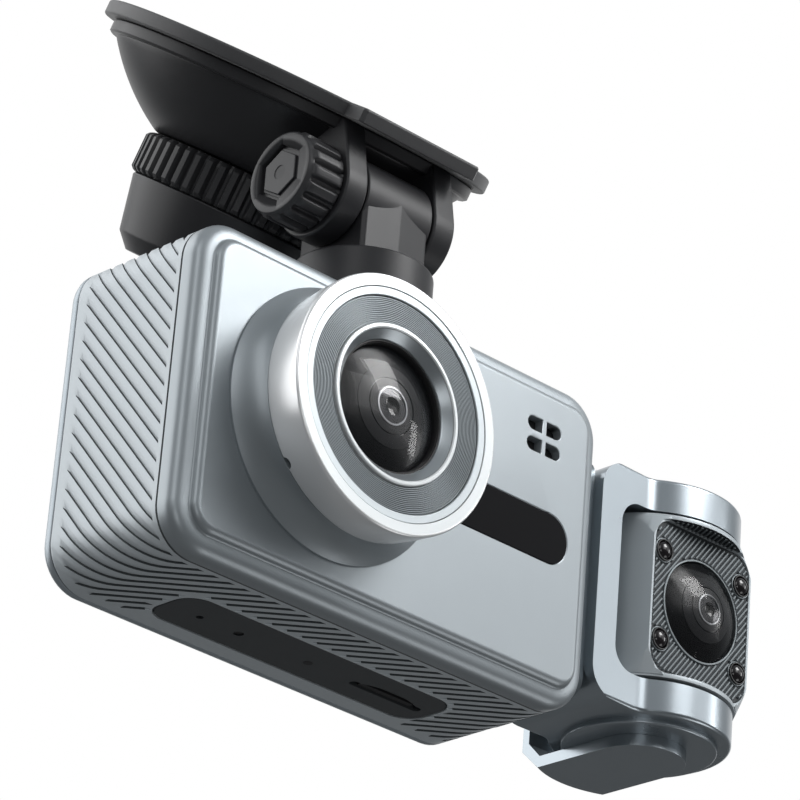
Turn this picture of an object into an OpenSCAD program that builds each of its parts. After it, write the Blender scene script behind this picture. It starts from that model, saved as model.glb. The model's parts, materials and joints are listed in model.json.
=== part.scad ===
// Dash camera with a suction mount, a front lens, and a swivelling cabin camera at its side.
// +Z is up, -Y is the way the front lens looks, +X is the side that carries the cabin camera.
// The origin is the centre of the face that sticks to the windscreen.

/* [Camera case] */
// Width of the camera case
case_w = 85; // [83:0.5:92]
// Height of the camera case
case_h = 53.2; // [52:0.2:58]
// Depth of the camera case, from the front face to the screen
case_d = 31; // [30:0.5:36]
// Corner radius of the case seen from the front
case_r = 7; // [6:0.5:9]
// Depth of the front shell
front_d = 5; // [4.6:0.2:6]
// Depth of the rear bezel
bezel_d = 2.2; // [2:0.1:2.8]
// Wall thickness of the case shells
wall = 1.8; // [1.6:0.1:2.1]
// Radius of the rounded front edge
front_round = 2.6; // [1.5:0.1:3.4]
// Spacing of the slanted grooves on the ends of the case
groove_pitch = 3; // [2.4:0.1:4]
// Slant of the grooves from level
groove_slant = 48; // [40:1:55]

/* [Front lens] */
// Distance of the lens axis from the middle of the case
lens_x = -14; // [-16:0.5:-12]
// Height of the lens axis above the middle of the case
lens_z = 1.3; // [0:0.1:2]
// Radius of the flared base on the front face
base_r = 21.4; // [20.8:0.1:22]
// Radius of the bright ring at its front edge
ring_r = 20.1; // [19.6:0.1:20.6]
// Reach of the lens in front of the case
lens_reach = 13.2; // [12.5:0.1:15]
// Radius of the dark opening inside the silver inner ring
hood_r = 11.1; // [10.6:0.1:11.6]
// Radius of the front glass
glass_r = 8.2; // [7.6:0.1:8.6]

/* [Cabin camera] */
// Distance of the cabin camera's axis from the end of the case
yoke_reach = 26; // [24.5:0.5:30]
// Radius of the round ends of the yoke
yoke_r = 14.7; // [13.5:0.1:16]
// Height of the yoke
yoke_h = 40.3; // [38:0.1:44]
// Height of the window that the head sits in
window_h = 28.9; // [28:0.1:31]
// Radius of the head's round ends
drum_r = 15; // [14:0.1:15.4]
// Width of the head's ribbed face
face_w = 23; // [22:0.1:23.4]
// Distance of the head's face from its swivel axis
face_out = 12.1; // [11.6:0.1:12.3]
// Thickness of the strap's two tongues
strap_t = 1.9; // [1.5:0.1:2.4]
// Width of the strap
strap_w = 15.2; // [12:0.1:18]

/* [Suction mount] */
// Tilt of the windscreen face from level
cup_tilt = 32; // [28:0.5:36]
// Radius of the suction disc
disc_r = 34; // [33:0.5:36]
// Thickness of the suction disc
disc_t = 2.4; // [2:0.1:3]
// Drop from the windscreen face to the hinge axis
hinge_drop = 14.7; // [14.3:0.1:16]
// Radius of the ears and the knuckle
ear_r = 7.9; // [7.4:0.1:8.2]
// Thickness of each ear
ear_t = 4.4; // [4:0.1:5]
// Gap between the two ears
ear_gap = 14.4; // [13.5:0.1:15.5]
// Radius of the ribbed locking collar
collar_r = 19.5; // [19:0.1:20.5]
// Radius of the hinge bolt
bolt_r = 2; // [1.6:0.1:2.2]
// Height of the round swivel base on the case
turret_h = 9.4; // [8.6:0.1:11]
// Radius of the round swivel base
turret_r = 11.2; // [10.8:0.1:12]
// Height of the neck from the swivel base to the hinge axis
neck_h = 10.5; // [10:0.1:13]

/* [Fits] */
// Radial play of a pin in its hole
run_fit = 0.06; // [0.03:0.01:0.1]
// Play around a sliding card or key
slide_fit = 0.15; // [0.1:0.01:0.25]

/* [Hidden] */
$fn = 64;

// Colours
silver = "#a8b2b8";
bright = "#e4e8ea";
graphite = "#44484c";
black = "#1d1e20";

// Where the hinge axis lies: under the front edge of the cup, square to the tilt
hinge_in = 2.5;                                  // how far the disc's edge passes the hinge axis
cup_out = disc_r - hinge_in;
hinge_y = -cup_out * cos(cup_tilt) + hinge_drop * sin(cup_tilt);
hinge_z = -cup_out * sin(cup_tilt) - hinge_drop * cos(cup_tilt);

// Where the case hangs: its own origin is the middle of its front face
hinge_back = 13;                                 // hinge axis behind the front face
case_y = hinge_y - hinge_back;
case_z = hinge_z - neck_h - turret_h - case_h / 2;

// Grooves on the ends of the case
groove_deep = 0.4;
groove_w = 0.45;

// Inside the case
band_end = case_d - bezel_d;
post_r = 2.6;
post_x = case_w / 2 - 6;
post_z = case_h / 2 - 6;
screw_r = 1;
board_y = case_d - 10.1;                         // front face of the main board
board_t = 1.2;
glass_t = 1;
glass_y = case_d - glass_t;
glass_edge = 3;                                  // bezel shown around the screen glass
lcd_w = case_w - 18;
lcd_h = case_h - 12.2;
lcd_t = 2.6;

// Parts on the main board, from its middle
part_gap = 0.8;                                  // least space beside a post
cell_x0 = -post_x + post_r + part_gap;
cell_x1 = -5;
cell_h = case_h - 17.2;
cell_z = -2;
cell_t = 5;
shield_w = 18;
shield_h = 20;
shield_t = 2;
shield_x = 7;
shield_z = 5;

// Speaker behind the front shell
speaker_x = case_w / 2 - 13.4;
speaker_z = case_h / 2 - 11;
speaker_r = 5.6;
speaker_t = 2.4;
magnet_r = 3.6;
mesh_t = 0.2;
slot_r = 1.15;
slot_l = 3.25;
slot_row = 3.5;                                  // spacing of the two rows of slots
slot_bridge = 0.9;

// Bottom panel, from its middle
panel_x = 0.45;
panel_w = case_w - 30.1;
panel_d = 11.4;
panel_r = 4;
panel_t = 1;
panel_ledge = 1.4;
panel_y = board_y - 1.4;
panel_x0 = panel_x - panel_w / 2;
mic_x = panel_x0 + 6.8;
reset_x = panel_x0 + 14.6;
light_x = panel_x + 1.3;
port_y = board_y - 1.2;                          // line that the small holes lie on
card_x = panel_x + panel_w / 2 - 9.7;
card_w = 11;
card_t = 1;
card_l = 15;
slot_w = 14.6;
socket_t = 1.9;
card_y = board_y - socket_t / 2;
reset_r = 0.75;
key_travel = 0.5;

// Top face
swivel_r = 5;
power_x = -case_w / 2 + 15.5;
power_w = 9;
power_d = 3.4;
usb_x = case_w / 2 - 15.5;
usb_w = 9;
usb_d = 3.3;
usb_l = 7.4;
usb_y = board_y - usb_d / 2 - 0.1;
port_line = board_y - 4;                         // middle of the power key

// Gloss plate beside the lens
plate_r = 4.3;
plate_z0 = -0.6;
plate_t = 0.6;

// Front lens, distances in front of the case
sleeve_r = 17.3;
sleeve_t = 1.5;
rim_t = 2;
seat_y = -(lens_reach - rim_t + 0.1);            // end of the sleeve that carries the rings
rim_r = ring_r - 2;
groove_out_r = 16.7;
inner_out_r = hood_r + 1.4;
holder_y = 3;

// Cabin camera
side_z = 0.2;
yoke_x = case_w / 2 + yoke_reach;
yoke_y = 14.3;
link_w = 4.2;
web_t = 4.7;
web_x = case_w / 2 + link_w;
web_half = 10.3;
web_r = 5;
window_r = 4;
yoke_fillet = 4;
disc_h = 0.9;
pivot_r = 2;
washer_t = 0.5;
drum_h = window_h - 2 * washer_t;
lip_t = 0.7;                                     // thickness of the lips over and under the face
face_h = drum_h - 2 * lip_t;
face_r = 4;
face_t = 1.4;
corner_r = 16.8;                                 // reach of the face's corners from the swivel axis
corner_z = 9.5;                                  // height up to which the corners keep that reach
head_wall = 1.5;
cover_y = 4.4;                                   // seam between the head's body and its cover
lamp_x = face_w / 2 - 2.45;
lamp_z = 7.6;
lamp_r = 1.85;
lamp_tail = 0.8;                                 // reach of a lamp into the head
side_glass_r = 8.2;
strap_in = corner_r + 0.5;                       // strap's inner face from the swivel axis
strap_r = strap_in + 2.9;                        // strap's rounded back

// Suction cup, distances down its axis
rim_d = 2.3;
housing_r = disc_r - 2;
dome_r = disc_r + 3.5;
dome_up = dome_r - 20.8;
dome_end = 16.1;
shell_t = 2;
stud_r = 3;
collar_d = 7.1;
collar_gap = 0.2;
cap_d = 12;
collar_ribs = 28;
knob_ribs = 16;
thumb_r = 6.5;
thumb_l = 7;

// ---------- helpers ----------

// Rounded rectangle with true arcs
module rounded(w, h, r) {
    square([w - 2 * r, h], center = true);
    square([w, h - 2 * r], center = true);
    for (x = [-1, 1], y = [-1, 1])
        translate([x * (w / 2 - r), y * (h / 2 - r)]) circle(r);
}

// Upright plate between two depths
module plate_y(w, h, r, y0, y1) {
    translate([0, y1, 0]) rotate([90, 0, 0]) linear_extrude(y1 - y0) rounded(w, h, r);
}

// Level plate between two heights
module plate_z(w, d, r, z0, z1) {
    translate([0, 0, z0]) linear_extrude(z1 - z0) rounded(w, d, r);
}

module rod_y(r, y0, y1) {
    translate([0, y1, 0]) rotate([90, 0, 0]) cylinder(r = r, h = y1 - y0);
}

module rod_x(r, x0, x1) {
    translate([x0, 0, 0]) rotate([0, 90, 0]) cylinder(r = r, h = x1 - x0);
}

module box(x0, x1, y0, y1, z0, z1) {
    translate([x0, y0, z0]) cube([x1 - x0, y1 - y0, z1 - z0]);
}

// Turned piece on an axis along Y; its outline is given as [radius, y]
module turned_y() {
    rotate([90, 0, 0]) mirror([0, 0, 1]) rotate_extrude() children();
}

module ring_y(r0, r1, y0, y1) {
    turned_y() translate([r0, y0]) square([r1 - r0, y1 - y0]);
}

module ring_z(r0, r1, z0, z1) {
    rotate_extrude() translate([r0, z0]) square([r1 - r0, z1 - z0]);
}

// Lens element: flat back at y = 0, domed front that rises by sag towards -Y
module dome_lens(r, sag, t) {
    sphere_r = (r * r + sag * sag) / (2 * sag);
    a = asin(r / sphere_r);
    turned_y() polygon(concat([[0, 0]], [[r, 0]],
        [for (i = [0:8]) [sphere_r * sin(a * (1 - i / 8)), -t + sphere_r * (1 - cos(a * (1 - i / 8))) - sag]]));
}

module at_case() { translate([0, case_y, case_z]) children(); }
module at_lens() { at_case() translate([lens_x, 0, lens_z]) children(); }
module at_bottom(x, y) { at_case() translate([x, y, -case_h / 2]) children(); }
module at_top(x, y) { at_case() translate([x, y, case_h / 2]) children(); }
module at_head() { at_case() translate([yoke_x, yoke_y, side_z]) children(); }
module at_cup() { rotate([cup_tilt, 0, 0]) children(); }
module at_hinge() { translate([0, hinge_y, hinge_z]) children(); }
module at_posts() {
    at_case() for (x = [-1, 1], z = [-1, 1]) translate([x * post_x, 0, z * post_z]) children();
}
module both_ends() { for (s = [0, 1]) mirror([0, 0, s]) children(); }

// ---------- suction mount ----------

// Soft disc with a squared tab at its front and a boss for the stud
module suction_disc() {
    tab_w = 25;
    tab_reach = 2.4;
    color(black) at_cup() {
        rotate_extrude() polygon([
            [0, 0], [disc_r - 0.4, 0], [disc_r, -0.5], [disc_r, -disc_t], [8, -disc_t], [8, -5.4], [0, -5.4]
        ]);
        difference() {
            box(-tab_w / 2, tab_w / 2, -disc_r - tab_reach, -disc_r + 6, -disc_t, 0);
            translate([0, 0, -disc_t - 1]) cylinder(r = disc_r - 1, h = disc_t + 2);
        }
    }
}

// Steel stud that pulls the disc
module pull_stud() {
    color("silver") at_cup() {
        translate([0, 0, -6.9]) cylinder(r = 7, h = 1.5);
        translate([0, 0, -dome_end - 14]) cylinder(r = stud_r, h = dome_end + 8);
    }
}

// Clip on the end of the stud that keeps the knob on
module stud_stop() {
    color("silver") at_cup() ring_z(stud_r, 5, -dome_end - 11.3, -dome_end - 10.1);
}

// Side outline of an ear, with the hinge axis at 0, 0
module ear_outline() {
    top = hinge_drop - disc_t;
    a = atan2(top, 0.5) + acos(ear_r / norm([0.5, top]));
    b = atan2(-1, 14) - acos(ear_r / norm([14, 1]));
    circle(ear_r);
    polygon([[0, 0], ear_r * [cos(b), sin(b)], [14, -1], [14, top], [0.5, top], ear_r * [cos(a), sin(a)]]);
}

// Domed cover over the disc, with the two hinge ears at its front
module cup_housing() {
    ear_out = ear_gap / 2 + ear_t;
    color(black) at_cup() difference() {
        union() {
            difference() {
                union() {
                    translate([0, 0, -disc_t - rim_d]) cylinder(r = housing_r, h = rim_d);
                    intersection() {
                        translate([0, 0, dome_up]) sphere(r = dome_r, $fn = 96);
                        translate([0, 0, -dome_end]) cylinder(r = housing_r, h = dome_end - disc_t - 1);
                    }
                }
                intersection() {
                    translate([0, 0, dome_up]) sphere(r = dome_r - shell_t, $fn = 96);
                    translate([0, 0, -dome_end + shell_t]) cylinder(r = housing_r - shell_t, h = dome_end);
                }
            }
            translate([0, 0, -dome_end]) cylinder(r = 6, h = 6);
            for (s = [-1, 1]) translate([s * (ear_gap / 2 + ear_t / 2), -cup_out, -hinge_drop])
                rotate([90, 0, 90]) linear_extrude(ear_t, center = true) ear_outline();
            box(-ear_out, ear_out, -cup_out + 3, -cup_out + 14, -hinge_drop - 1, -disc_t);
        }
        // running space for the knuckle
        translate([0, -cup_out, -hinge_drop]) rod_x(ear_r + 0.2, -ear_gap / 2, ear_gap / 2);
        // bolt hole and nut pocket
        translate([0, -cup_out, -hinge_drop]) {
            rod_x(bolt_r + run_fit, -30, 30);
            translate([ear_out - 2.4, 0, 0]) rotate([0, 90, 0]) cylinder(r = bolt_r * 2 + 0.05, h = 5, $fn = 6);
        }
        // stud hole
        translate([0, 0, -2 * dome_end]) cylinder(r = stud_r + run_fit, h = 2 * dome_end);
    }
}

module hinge_nut() {
    x0 = ear_gap / 2 + ear_t - 2.4;
    color("silver") at_cup() translate([x0, -cup_out, -hinge_drop]) rotate([0, 90, 0]) difference() {
        cylinder(r = bolt_r * 2, h = 2.8, $fn = 6);
        translate([0, 0, -1]) cylinder(r = bolt_r + run_fit, h = 5);
    }
}

// Ribbed ring that is twisted to lock the cup
module lock_collar() {
    top = -dome_end - collar_gap;
    color(black) at_cup() difference() {
        union() {
            translate([0, 0, top - collar_d]) cylinder(r = collar_r - 0.7, h = collar_d);
            for (i = [0:collar_ribs - 1]) rotate([0, 0, i * 360 / collar_ribs])
                box(collar_r - 3, collar_r, -1.3, 1.3, top - collar_d + 0.3, top - 0.3);
        }
        translate([0, 0, top - collar_d - 1]) cylinder(r = collar_r - 3.2, h = collar_d - 1.2);
        translate([0, 0, top - collar_d - 1]) cylinder(r = 5.5, h = collar_d + 2);
    }
}

// Brass insert that runs on the stud
module knob_insert() {
    top = -dome_end - collar_gap;
    color("gold") at_cup() {
        ring_z(stud_r + run_fit, 5.5, -dome_end - 10, top);
        ring_z(5.5, 7.5, top - 3.8, top - 2.2);
    }
}

// Smooth cap under the collar
module knob_cap() {
    top = -dome_end - collar_gap - collar_d;
    r0 = collar_r - 0.6;
    color(black) at_cup() difference() {
        union() {
            rotate_extrude() polygon([[0, top], [r0, top], [r0 - 2.1, top - cap_d + 2.6],
                [r0 - 4.4, top - cap_d], [0, top - cap_d]]);
            translate([0, 0, top - 1]) cylinder(r = collar_r - 3.2, h = 3);
        }
        translate([0, 0, top - cap_d + 2]) cylinder(r = collar_r - 6.2, h = cap_d + 5);
    }
}

// Ribbed thumb knob around the bolt's head
module thumb_knob() {
    x1 = -ear_gap / 2 - ear_t - 0.1;
    color(black) at_hinge() difference() {
        union() {
            rod_x(thumb_r, x1 - thumb_l, x1);
            for (i = [0:knob_ribs - 1]) rotate([i * 360 / knob_ribs, 0, 0])
                box(x1 - thumb_l + 0.6, x1 - 0.4, -0.6, 0.6, thumb_r - 1, thumb_r + 0.8);
        }
        rod_x(bolt_r, x1 - thumb_l - 1, x1 + 1);
        translate([x1 - thumb_l - 1, 0, 0]) rotate([0, 90, 0]) cylinder(r = 4.3, h = 3.9, $fn = 6);
    }
}

module hinge_bolt() {
    x1 = -ear_gap / 2 - ear_t - 0.1;
    color("silver") at_hinge() {
        rod_x(bolt_r, x1 - thumb_l + 2, ear_gap / 2 + ear_t + 1.6);
        translate([x1 - thumb_l + 0.4, 0, 0]) rotate([0, 90, 0]) cylinder(r = 4.3, h = 2.5, $fn = 6);
        rod_x(2.4, x1 - thumb_l + 0.1, x1 - thumb_l + 1);
    }
}

// Post with a round knuckle on top and a swivel pin below
module neck() {
    half = ear_gap / 2 - 0.3;
    k = ear_r - 0.2;
    color(black) at_hinge() difference() {
        union() {
            rod_x(k, -half, half);
            translate([0, 0, -neck_h]) linear_extrude(neck_h) polygon([
                [-half, -k + 1.2], [-half + 0.6, -k + 0.6], [0, -k], [half - 0.6, -k + 0.6], [half, -k + 1.2],
                [half, k - 0.6], [half - 0.6, k], [-half + 0.6, k], [-half, k - 0.6]
            ]);
            translate([0, 0, -neck_h - turret_h - wall]) cylinder(r = swivel_r, h = neck_h + turret_h);
        }
        rod_x(bolt_r + run_fit, -half - 1, half + 1);
        translate([0, 0, -neck_h - turret_h - wall - 1]) cylinder(r = 1.5, h = 8);
    }
}

// Washer and screw under the roof of the case, which they carry
module swivel_washer() {
    color("silver") at_hinge() translate([0, 0, -neck_h - turret_h - wall]) ring_z(1.5, swivel_r + 1.4, -1, 0);
}

module swivel_screw() {
    color("silver") at_hinge() translate([0, 0, -neck_h - turret_h - wall]) {
        translate([0, 0, -2.6]) cylinder(r = 3.2, h = 1.6);
        translate([0, 0, -2]) cylinder(r = 1.5, h = 8.5);
    }
}

module turret_base() {
    color(black) at_top(0, hinge_back) difference() {
        rotate_extrude() polygon([[0, 0], [turret_r, 0], [turret_r, turret_h - 0.5],
            [turret_r - 0.5, turret_h], [0, turret_h]]);
        translate([0, 0, -1]) cylinder(r = swivel_r + run_fit, h = turret_h + 2);
    }
}

// ---------- case ----------

// One rounded corner of a shell, its front at y = 0
module shell_corner(depth, round) {
    rotate([-90, 0, 0]) rotate_extrude($fn = 32) polygon(concat([[0, 0]],
        [for (i = [0:5]) [case_r - round * (1 - sin(18 * i)), round * (1 - cos(18 * i))]],
        [[case_r, depth], [0, depth]]));
}

module rounded_shell(depth, round) {
    hull() for (x = [-1, 1], z = [-1, 1])
        translate([x * (case_w / 2 - case_r), 0, z * (case_h / 2 - case_r)]) shell_corner(depth, round);
}

// Outline of one half of a speaker slot, round at its outer end
module slot_half() {
    circle(slot_r, $fn = 32);
    translate([0, -slot_r]) square([slot_l - slot_r, 2 * slot_r]);
}

module speaker_slots(y0, y1) {
    for (z = [-slot_row / 2, slot_row / 2], s = [-1, 1])
        translate([speaker_x, y1, speaker_z + z]) rotate([90, 0, 0]) linear_extrude(y1 - y0)
            translate([s * (slot_bridge / 2 + slot_l - slot_r), 0]) mirror([s > 0 ? 1 : 0, 0, 0]) slot_half();
}

// Pill whose near end is cut square under the lens foot
module name_outline() {
    x0 = lens_x + sleeve_r + 0.3;
    x1 = case_w / 2 - 11.1;
    translate([x0, plate_z0 - plate_r]) square([x1 - x0, 2 * plate_r]);
    translate([x1, plate_z0]) circle(plate_r);
}

module front_case() {
    color(silver) {
        at_case() difference() {
            rounded_shell(front_d, front_round);
            plate_y(case_w - 2 * wall, case_h - 2 * wall, case_r - wall, wall, front_d + 1);
            translate([lens_x, 0, lens_z]) rod_y(sleeve_r, -1, wall + 1);
            speaker_slots(-1, wall + 1);
            translate([0, plate_t, 0]) rotate([90, 0, 0]) linear_extrude(2) name_outline();
        }
        at_posts() ring_y(screw_r, post_r, wall - 0.1, board_y);
    }
}

// Slanted grooves across one end of the band
module end_grooves(side) {
    near = front_d + 1.2;
    far = band_end - 2.3;
    rise = (far - near) * tan(groove_slant);
    flat = case_h / 2 - case_r - 0.3;
    last = floor((flat + rise / 2 - 1.5) / groove_pitch);
    intersection() {
        for (i = [-last:last])
            translate([side * case_w / 2, (near + far) / 2, i * groove_pitch]) rotate([-side * groove_slant, 0, 0])
                cube([2 * groove_deep, 2 * case_d, groove_w], center = true);
        box(-case_w, case_w, near, far, -flat, flat);
    }
}

// Band between the front shell and the bezel
module side_band() {
    color(silver) at_case() difference() {
        plate_y(case_w, case_h, case_r, front_d, band_end);
        plate_y(case_w - 2 * wall, case_h - 2 * wall, case_r - wall, front_d - 1, band_end + 1);
        end_grooves(-1);
        end_grooves(1);
        translate([0, hinge_back, 0]) cylinder(r = swivel_r + run_fit, h = case_h);
        translate([panel_x, panel_y, -case_h / 2]) {
            plate_z(panel_w, panel_d, panel_r, -1, panel_t);
            plate_z(panel_w - 2 * panel_ledge, panel_d - 2 * panel_ledge, panel_r - panel_ledge, 0, wall + 1);
        }
        translate([power_x, port_line, 0])
            plate_z(power_w + 2 * slide_fit, power_d + 2 * slide_fit, power_d / 2, 0, case_h);
        translate([usb_x, usb_y, 0]) plate_z(usb_w, usb_d, usb_d / 2 - 0.01, 0, case_h);
        for (z = [-11, 11]) translate([0, yoke_y, side_z + z]) rod_x(1.2, 0, case_w);
    }
}

module rear_bezel() {
    color(graphite) {
        at_case() difference() {
            translate([0, case_d, 0]) mirror([0, 1, 0]) rounded_shell(bezel_d, bezel_d - 0.6);
            plate_y(case_w - 2 * glass_edge, case_h - 2 * glass_edge, 4, glass_y, case_d + 1);
            plate_y(lcd_w + 0.2, lcd_h + 0.2, 1, band_end - 1, case_d);
            for (x = [-1, 1], z = [-1, 1]) translate([x * post_x, 0, z * post_z]) {
                rod_y(screw_r, band_end - 1, case_d);
                rod_y(1.9, glass_y - 1, case_d);
            }
        }
        at_posts() ring_y(screw_r, 2.1, board_y + board_t, glass_y - 1.1);
    }
}

module screen_glass() {
    color("#101214") at_case() plate_y(case_w - 2 * glass_edge, case_h - 2 * glass_edge, 4, glass_y, case_d);
}

module lcd_panel() {
    color("#2a3038") at_case() plate_y(lcd_w, lcd_h, 1, glass_y - lcd_t, glass_y);
}

module case_screws() {
    color("silver") at_posts() {
        rod_y(screw_r, board_y - 6, glass_y - 0.5);
        rod_y(1.9, glass_y - 1, glass_y);
    }
}

module main_board() {
    color("#1f5a3c") at_case() difference() {
        plate_y(case_w - 8, case_h - 8.2, 3, board_y, board_y + board_t);
        for (x = [-1, 1], z = [-1, 1]) translate([x * post_x, 0, z * post_z]) rod_y(screw_r, 0, case_d);
    }
}

// Metal can over the processor
module chip_shield() {
    color("silver") at_case() translate([shield_x, 0, shield_z])
        plate_y(shield_w, shield_h, 0.5, board_y - shield_t, board_y);
}

module battery() {
    color("#3a4a8a") at_case() translate([(cell_x0 + cell_x1) / 2, 0, cell_z])
        plate_y(cell_x1 - cell_x0, cell_h, 1.5, board_y - cell_t, board_y);
}

module speaker_mesh() {
    mesh_w = 2 * slot_l + slot_bridge + 2;
    mesh_h = slot_row + 2 * slot_r + 1.4;
    color(black) at_case() translate([speaker_x, 0, speaker_z]) plate_y(mesh_w, mesh_h, 1, wall, wall + mesh_t);
}

module speaker() {
    color(graphite) at_case() translate([speaker_x, 0, speaker_z]) {
        rod_y(speaker_r, wall + mesh_t, wall + speaker_t);
        rod_y(magnet_r, wall + speaker_t - 0.1, wall + speaker_t + 1.6);
    }
}

module name_plate() {
    color("#08090a") at_case() translate([0, plate_t, 0]) rotate([90, 0, 0])
        linear_extrude(plate_t) name_outline();
}

// ---------- bottom panel, keys and sockets ----------

module port_panel() {
    notch_r = 13.7;
    notch_d = 2.1;
    color(graphite) at_bottom(0, 0) difference() {
        translate([panel_x, panel_y, 0]) plate_z(panel_w, panel_d, panel_r, 0, panel_t);
        translate([mic_x, port_y, -1]) cylinder(r = 0.6, h = 3, $fn = 24);
        translate([reset_x, port_y, -1]) cylinder(r = reset_r + run_fit, h = 3);
        translate([light_x, port_y, -1]) cylinder(r = 0.75, h = 3);
        translate([card_x, card_y, 0]) plate_z(slot_w, card_t + 0.6, 0.7, -1, 3);
        intersection() {
            translate([card_x, card_y - notch_d + notch_r, -1]) cylinder(r = notch_r, h = 1.6);
            box(card_x - slot_w / 2, card_x + slot_w / 2, card_y - notch_d - 1, card_y, -1, 0.6);
        }
    }
}

module microphone() {
    color("silver") at_bottom(mic_x, port_y) translate([0, 0, panel_t]) cylinder(r = 2, h = 1.6);
}

module status_light() {
    color("white") at_bottom(light_x, port_y) {
        cylinder(r = 0.75, h = panel_t);
        translate([0, 0, panel_t]) cylinder(r = 1.3, h = 1.5);
    }
}

// Small switches on the board: one behind the reset key, one behind the power key
module tact_switches() {
    color("silver") {
        at_bottom(reset_x, 0) box(-2, 2, port_y - 1.2, board_y, panel_t + 0.7 + key_travel, panel_t + 3.4);
        at_top(power_x, 0) box(-2, 2, port_line - 1.2, board_y, -wall - 4.2, -wall - 1 - key_travel);
    }
}

module reset_button() {
    color(black) at_bottom(reset_x, port_y) {
        translate([0, 0, 0.25]) cylinder(r = reset_r, h = panel_t);
        translate([0, 0, panel_t]) cylinder(r = 1.1, h = 0.6);
    }
}

module power_button() {
    color(graphite) at_top(power_x, port_line) {
        plate_z(power_w, power_d, power_d / 2 - 0.01, -wall - 0.4, 0.8);
        plate_z(power_w + 1.4, power_d + 1.4, power_d / 2, -wall - 0.9, -wall);
    }
}

// Card socket on the board, open at the bottom
module card_socket() {
    z0 = wall;
    color("silver") at_bottom(card_x, card_y) difference() {
        box(-7, 7, -socket_t / 2, socket_t / 2, z0, card_l + 2);
        box(-card_w / 2 - slide_fit, card_w / 2 + slide_fit, -card_t / 2 - slide_fit, card_t / 2 + slide_fit,
            z0 - 1, card_l + 0.6);
    }
}

module memory_card() {
    color("#26272a") at_bottom(card_x, card_y) {
        box(-card_w / 2, card_w / 2, -card_t / 2, card_t / 2, 0.3, card_l - 4);
        box(-card_w / 2, card_w / 2 - 1.3, -card_t / 2, card_t / 2, card_l - 4, card_l);
    }
}

// Power inlet on the roof: a metal shell with a contact tongue
module usb_port() {
    color("silver") at_top(usb_x, usb_y) {
        difference() {
            plate_z(usb_w, usb_d, usb_d / 2 - 0.01, -usb_l, 0);
            plate_z(usb_w - 0.7, usb_d - 0.7, usb_d / 2 - 0.36, -usb_l + 0.8, 1);
        }
        box(-3.3, 3.3, -0.35, 0.35, -usb_l + 0.5, -1);
    }
}

// ---------- front lens ----------

// Flared foot and the sleeve that carries the rings
module lens_base() {
    neck_y = -6;
    neck_r = ring_r - 0.9;
    color(silver) at_lens() {
        turned_y() polygon(concat([[sleeve_r - sleeve_t, 0], [base_r, 0]],
            [for (i = [0:8]) [neck_r + (base_r - neck_r) * pow(1 - i / 8, 2), neck_y * (0.08 + 0.92 * i / 8)]],
            [[sleeve_r - sleeve_t, neck_y]]));
        ring_y(sleeve_r - sleeve_t, sleeve_r, seat_y, wall);
    }
}

// Inner tube that holds the optics
module lens_housing() {
    color(black) at_lens() {
        ring_y(9.9, inner_out_r, seat_y, holder_y);
        ring_y(inner_out_r - 0.1, sleeve_r - sleeve_t, 0.2, wall);
    }
}

module chrome_ring() {
    color(bright) at_lens() turned_y() polygon([
        [sleeve_r, -6.1], [ring_r - 0.9, -6.1], [ring_r - 0.7, -6.3], [ring_r - 0.15, -10.5],
        [ring_r, -lens_reach + 0.6], [ring_r - 0.5, -lens_reach], [rim_r, -lens_reach], [rim_r, seat_y],
        [sleeve_r, seat_y]
    ]);
}

module rim_ring() {
    color(bright) at_lens() ring_y(groove_out_r, rim_r, -lens_reach + 0.1, seat_y);
}

// Ring with fine concentric grooves
module grooved_ring() {
    steps = 6;
    y0 = -lens_reach + 0.4;
    pitch = (groove_out_r - inner_out_r) / steps;
    color("#70767a") at_lens() difference() {
        ring_y(inner_out_r, groove_out_r, y0, seat_y);
        for (i = [0:steps - 1]) ring_y(inner_out_r + (i + 0.35) * pitch, inner_out_r + (i + 0.65) * pitch,
            y0 - 1, y0 + 0.25);
    }
}

module inner_ring() {
    color(bright) at_lens() ring_y(hood_r, inner_out_r, -lens_reach - 0.1, seat_y);
}

// Stepped black cone around the glass
module lens_hood() {
    color(black) at_lens() turned_y() polygon([
        [9.9, seat_y + 5], [9.9, seat_y], [hood_r, seat_y], [hood_r, -lens_reach + 0.7],
        [hood_r - 0.4, -lens_reach + 0.7], [glass_r + 0.6, seat_y + 2], [glass_r, seat_y + 2.2], [glass_r, seat_y + 5]
    ]);
}

module front_glass() {
    color("#0b0d12", 0.6) at_lens() translate([0, seat_y + 4.4, 0]) dome_lens(glass_r, 2.4, 1.8);
}

module lens_barrel() {
    color(black) at_lens() turned_y() polygon([
        [6.6, seat_y + 4.4], [glass_r, seat_y + 4.4], [glass_r, seat_y + 9], [7, seat_y + 9], [7, holder_y + 2.6],
        [4.4, holder_y + 2.6], [4.4, seat_y + 10], [5, seat_y + 8.4], [5, seat_y + 7.4], [6.6, seat_y + 7.4]
    ]);
}

module inner_lens() {
    color("#20242c", 0.7) at_lens() translate([0, seat_y + 8.4, 0]) dome_lens(5, 1.4, 1);
}

// Square block that carries the barrel on the sensor board
module lens_holder() {
    color(black) at_lens() difference() {
        union() {
            plate_y(24, 24, 2, holder_y, holder_y + 1.2);
            plate_y(17, 17, 1, holder_y, holder_y + 4);
        }
        rod_y(7, holder_y - 1, holder_y + 2.6);
        plate_y(9, 9, 0.5, holder_y + 2, holder_y + 5);
    }
}

module sensor_board() {
    color("#1f5a3c") at_lens() {
        plate_y(20, 20, 1, holder_y + 4, holder_y + 5);
        plate_y(7, 7, 0.3, holder_y + 3.2, holder_y + 4.1);
    }
}

// ---------- cabin camera ----------

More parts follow.
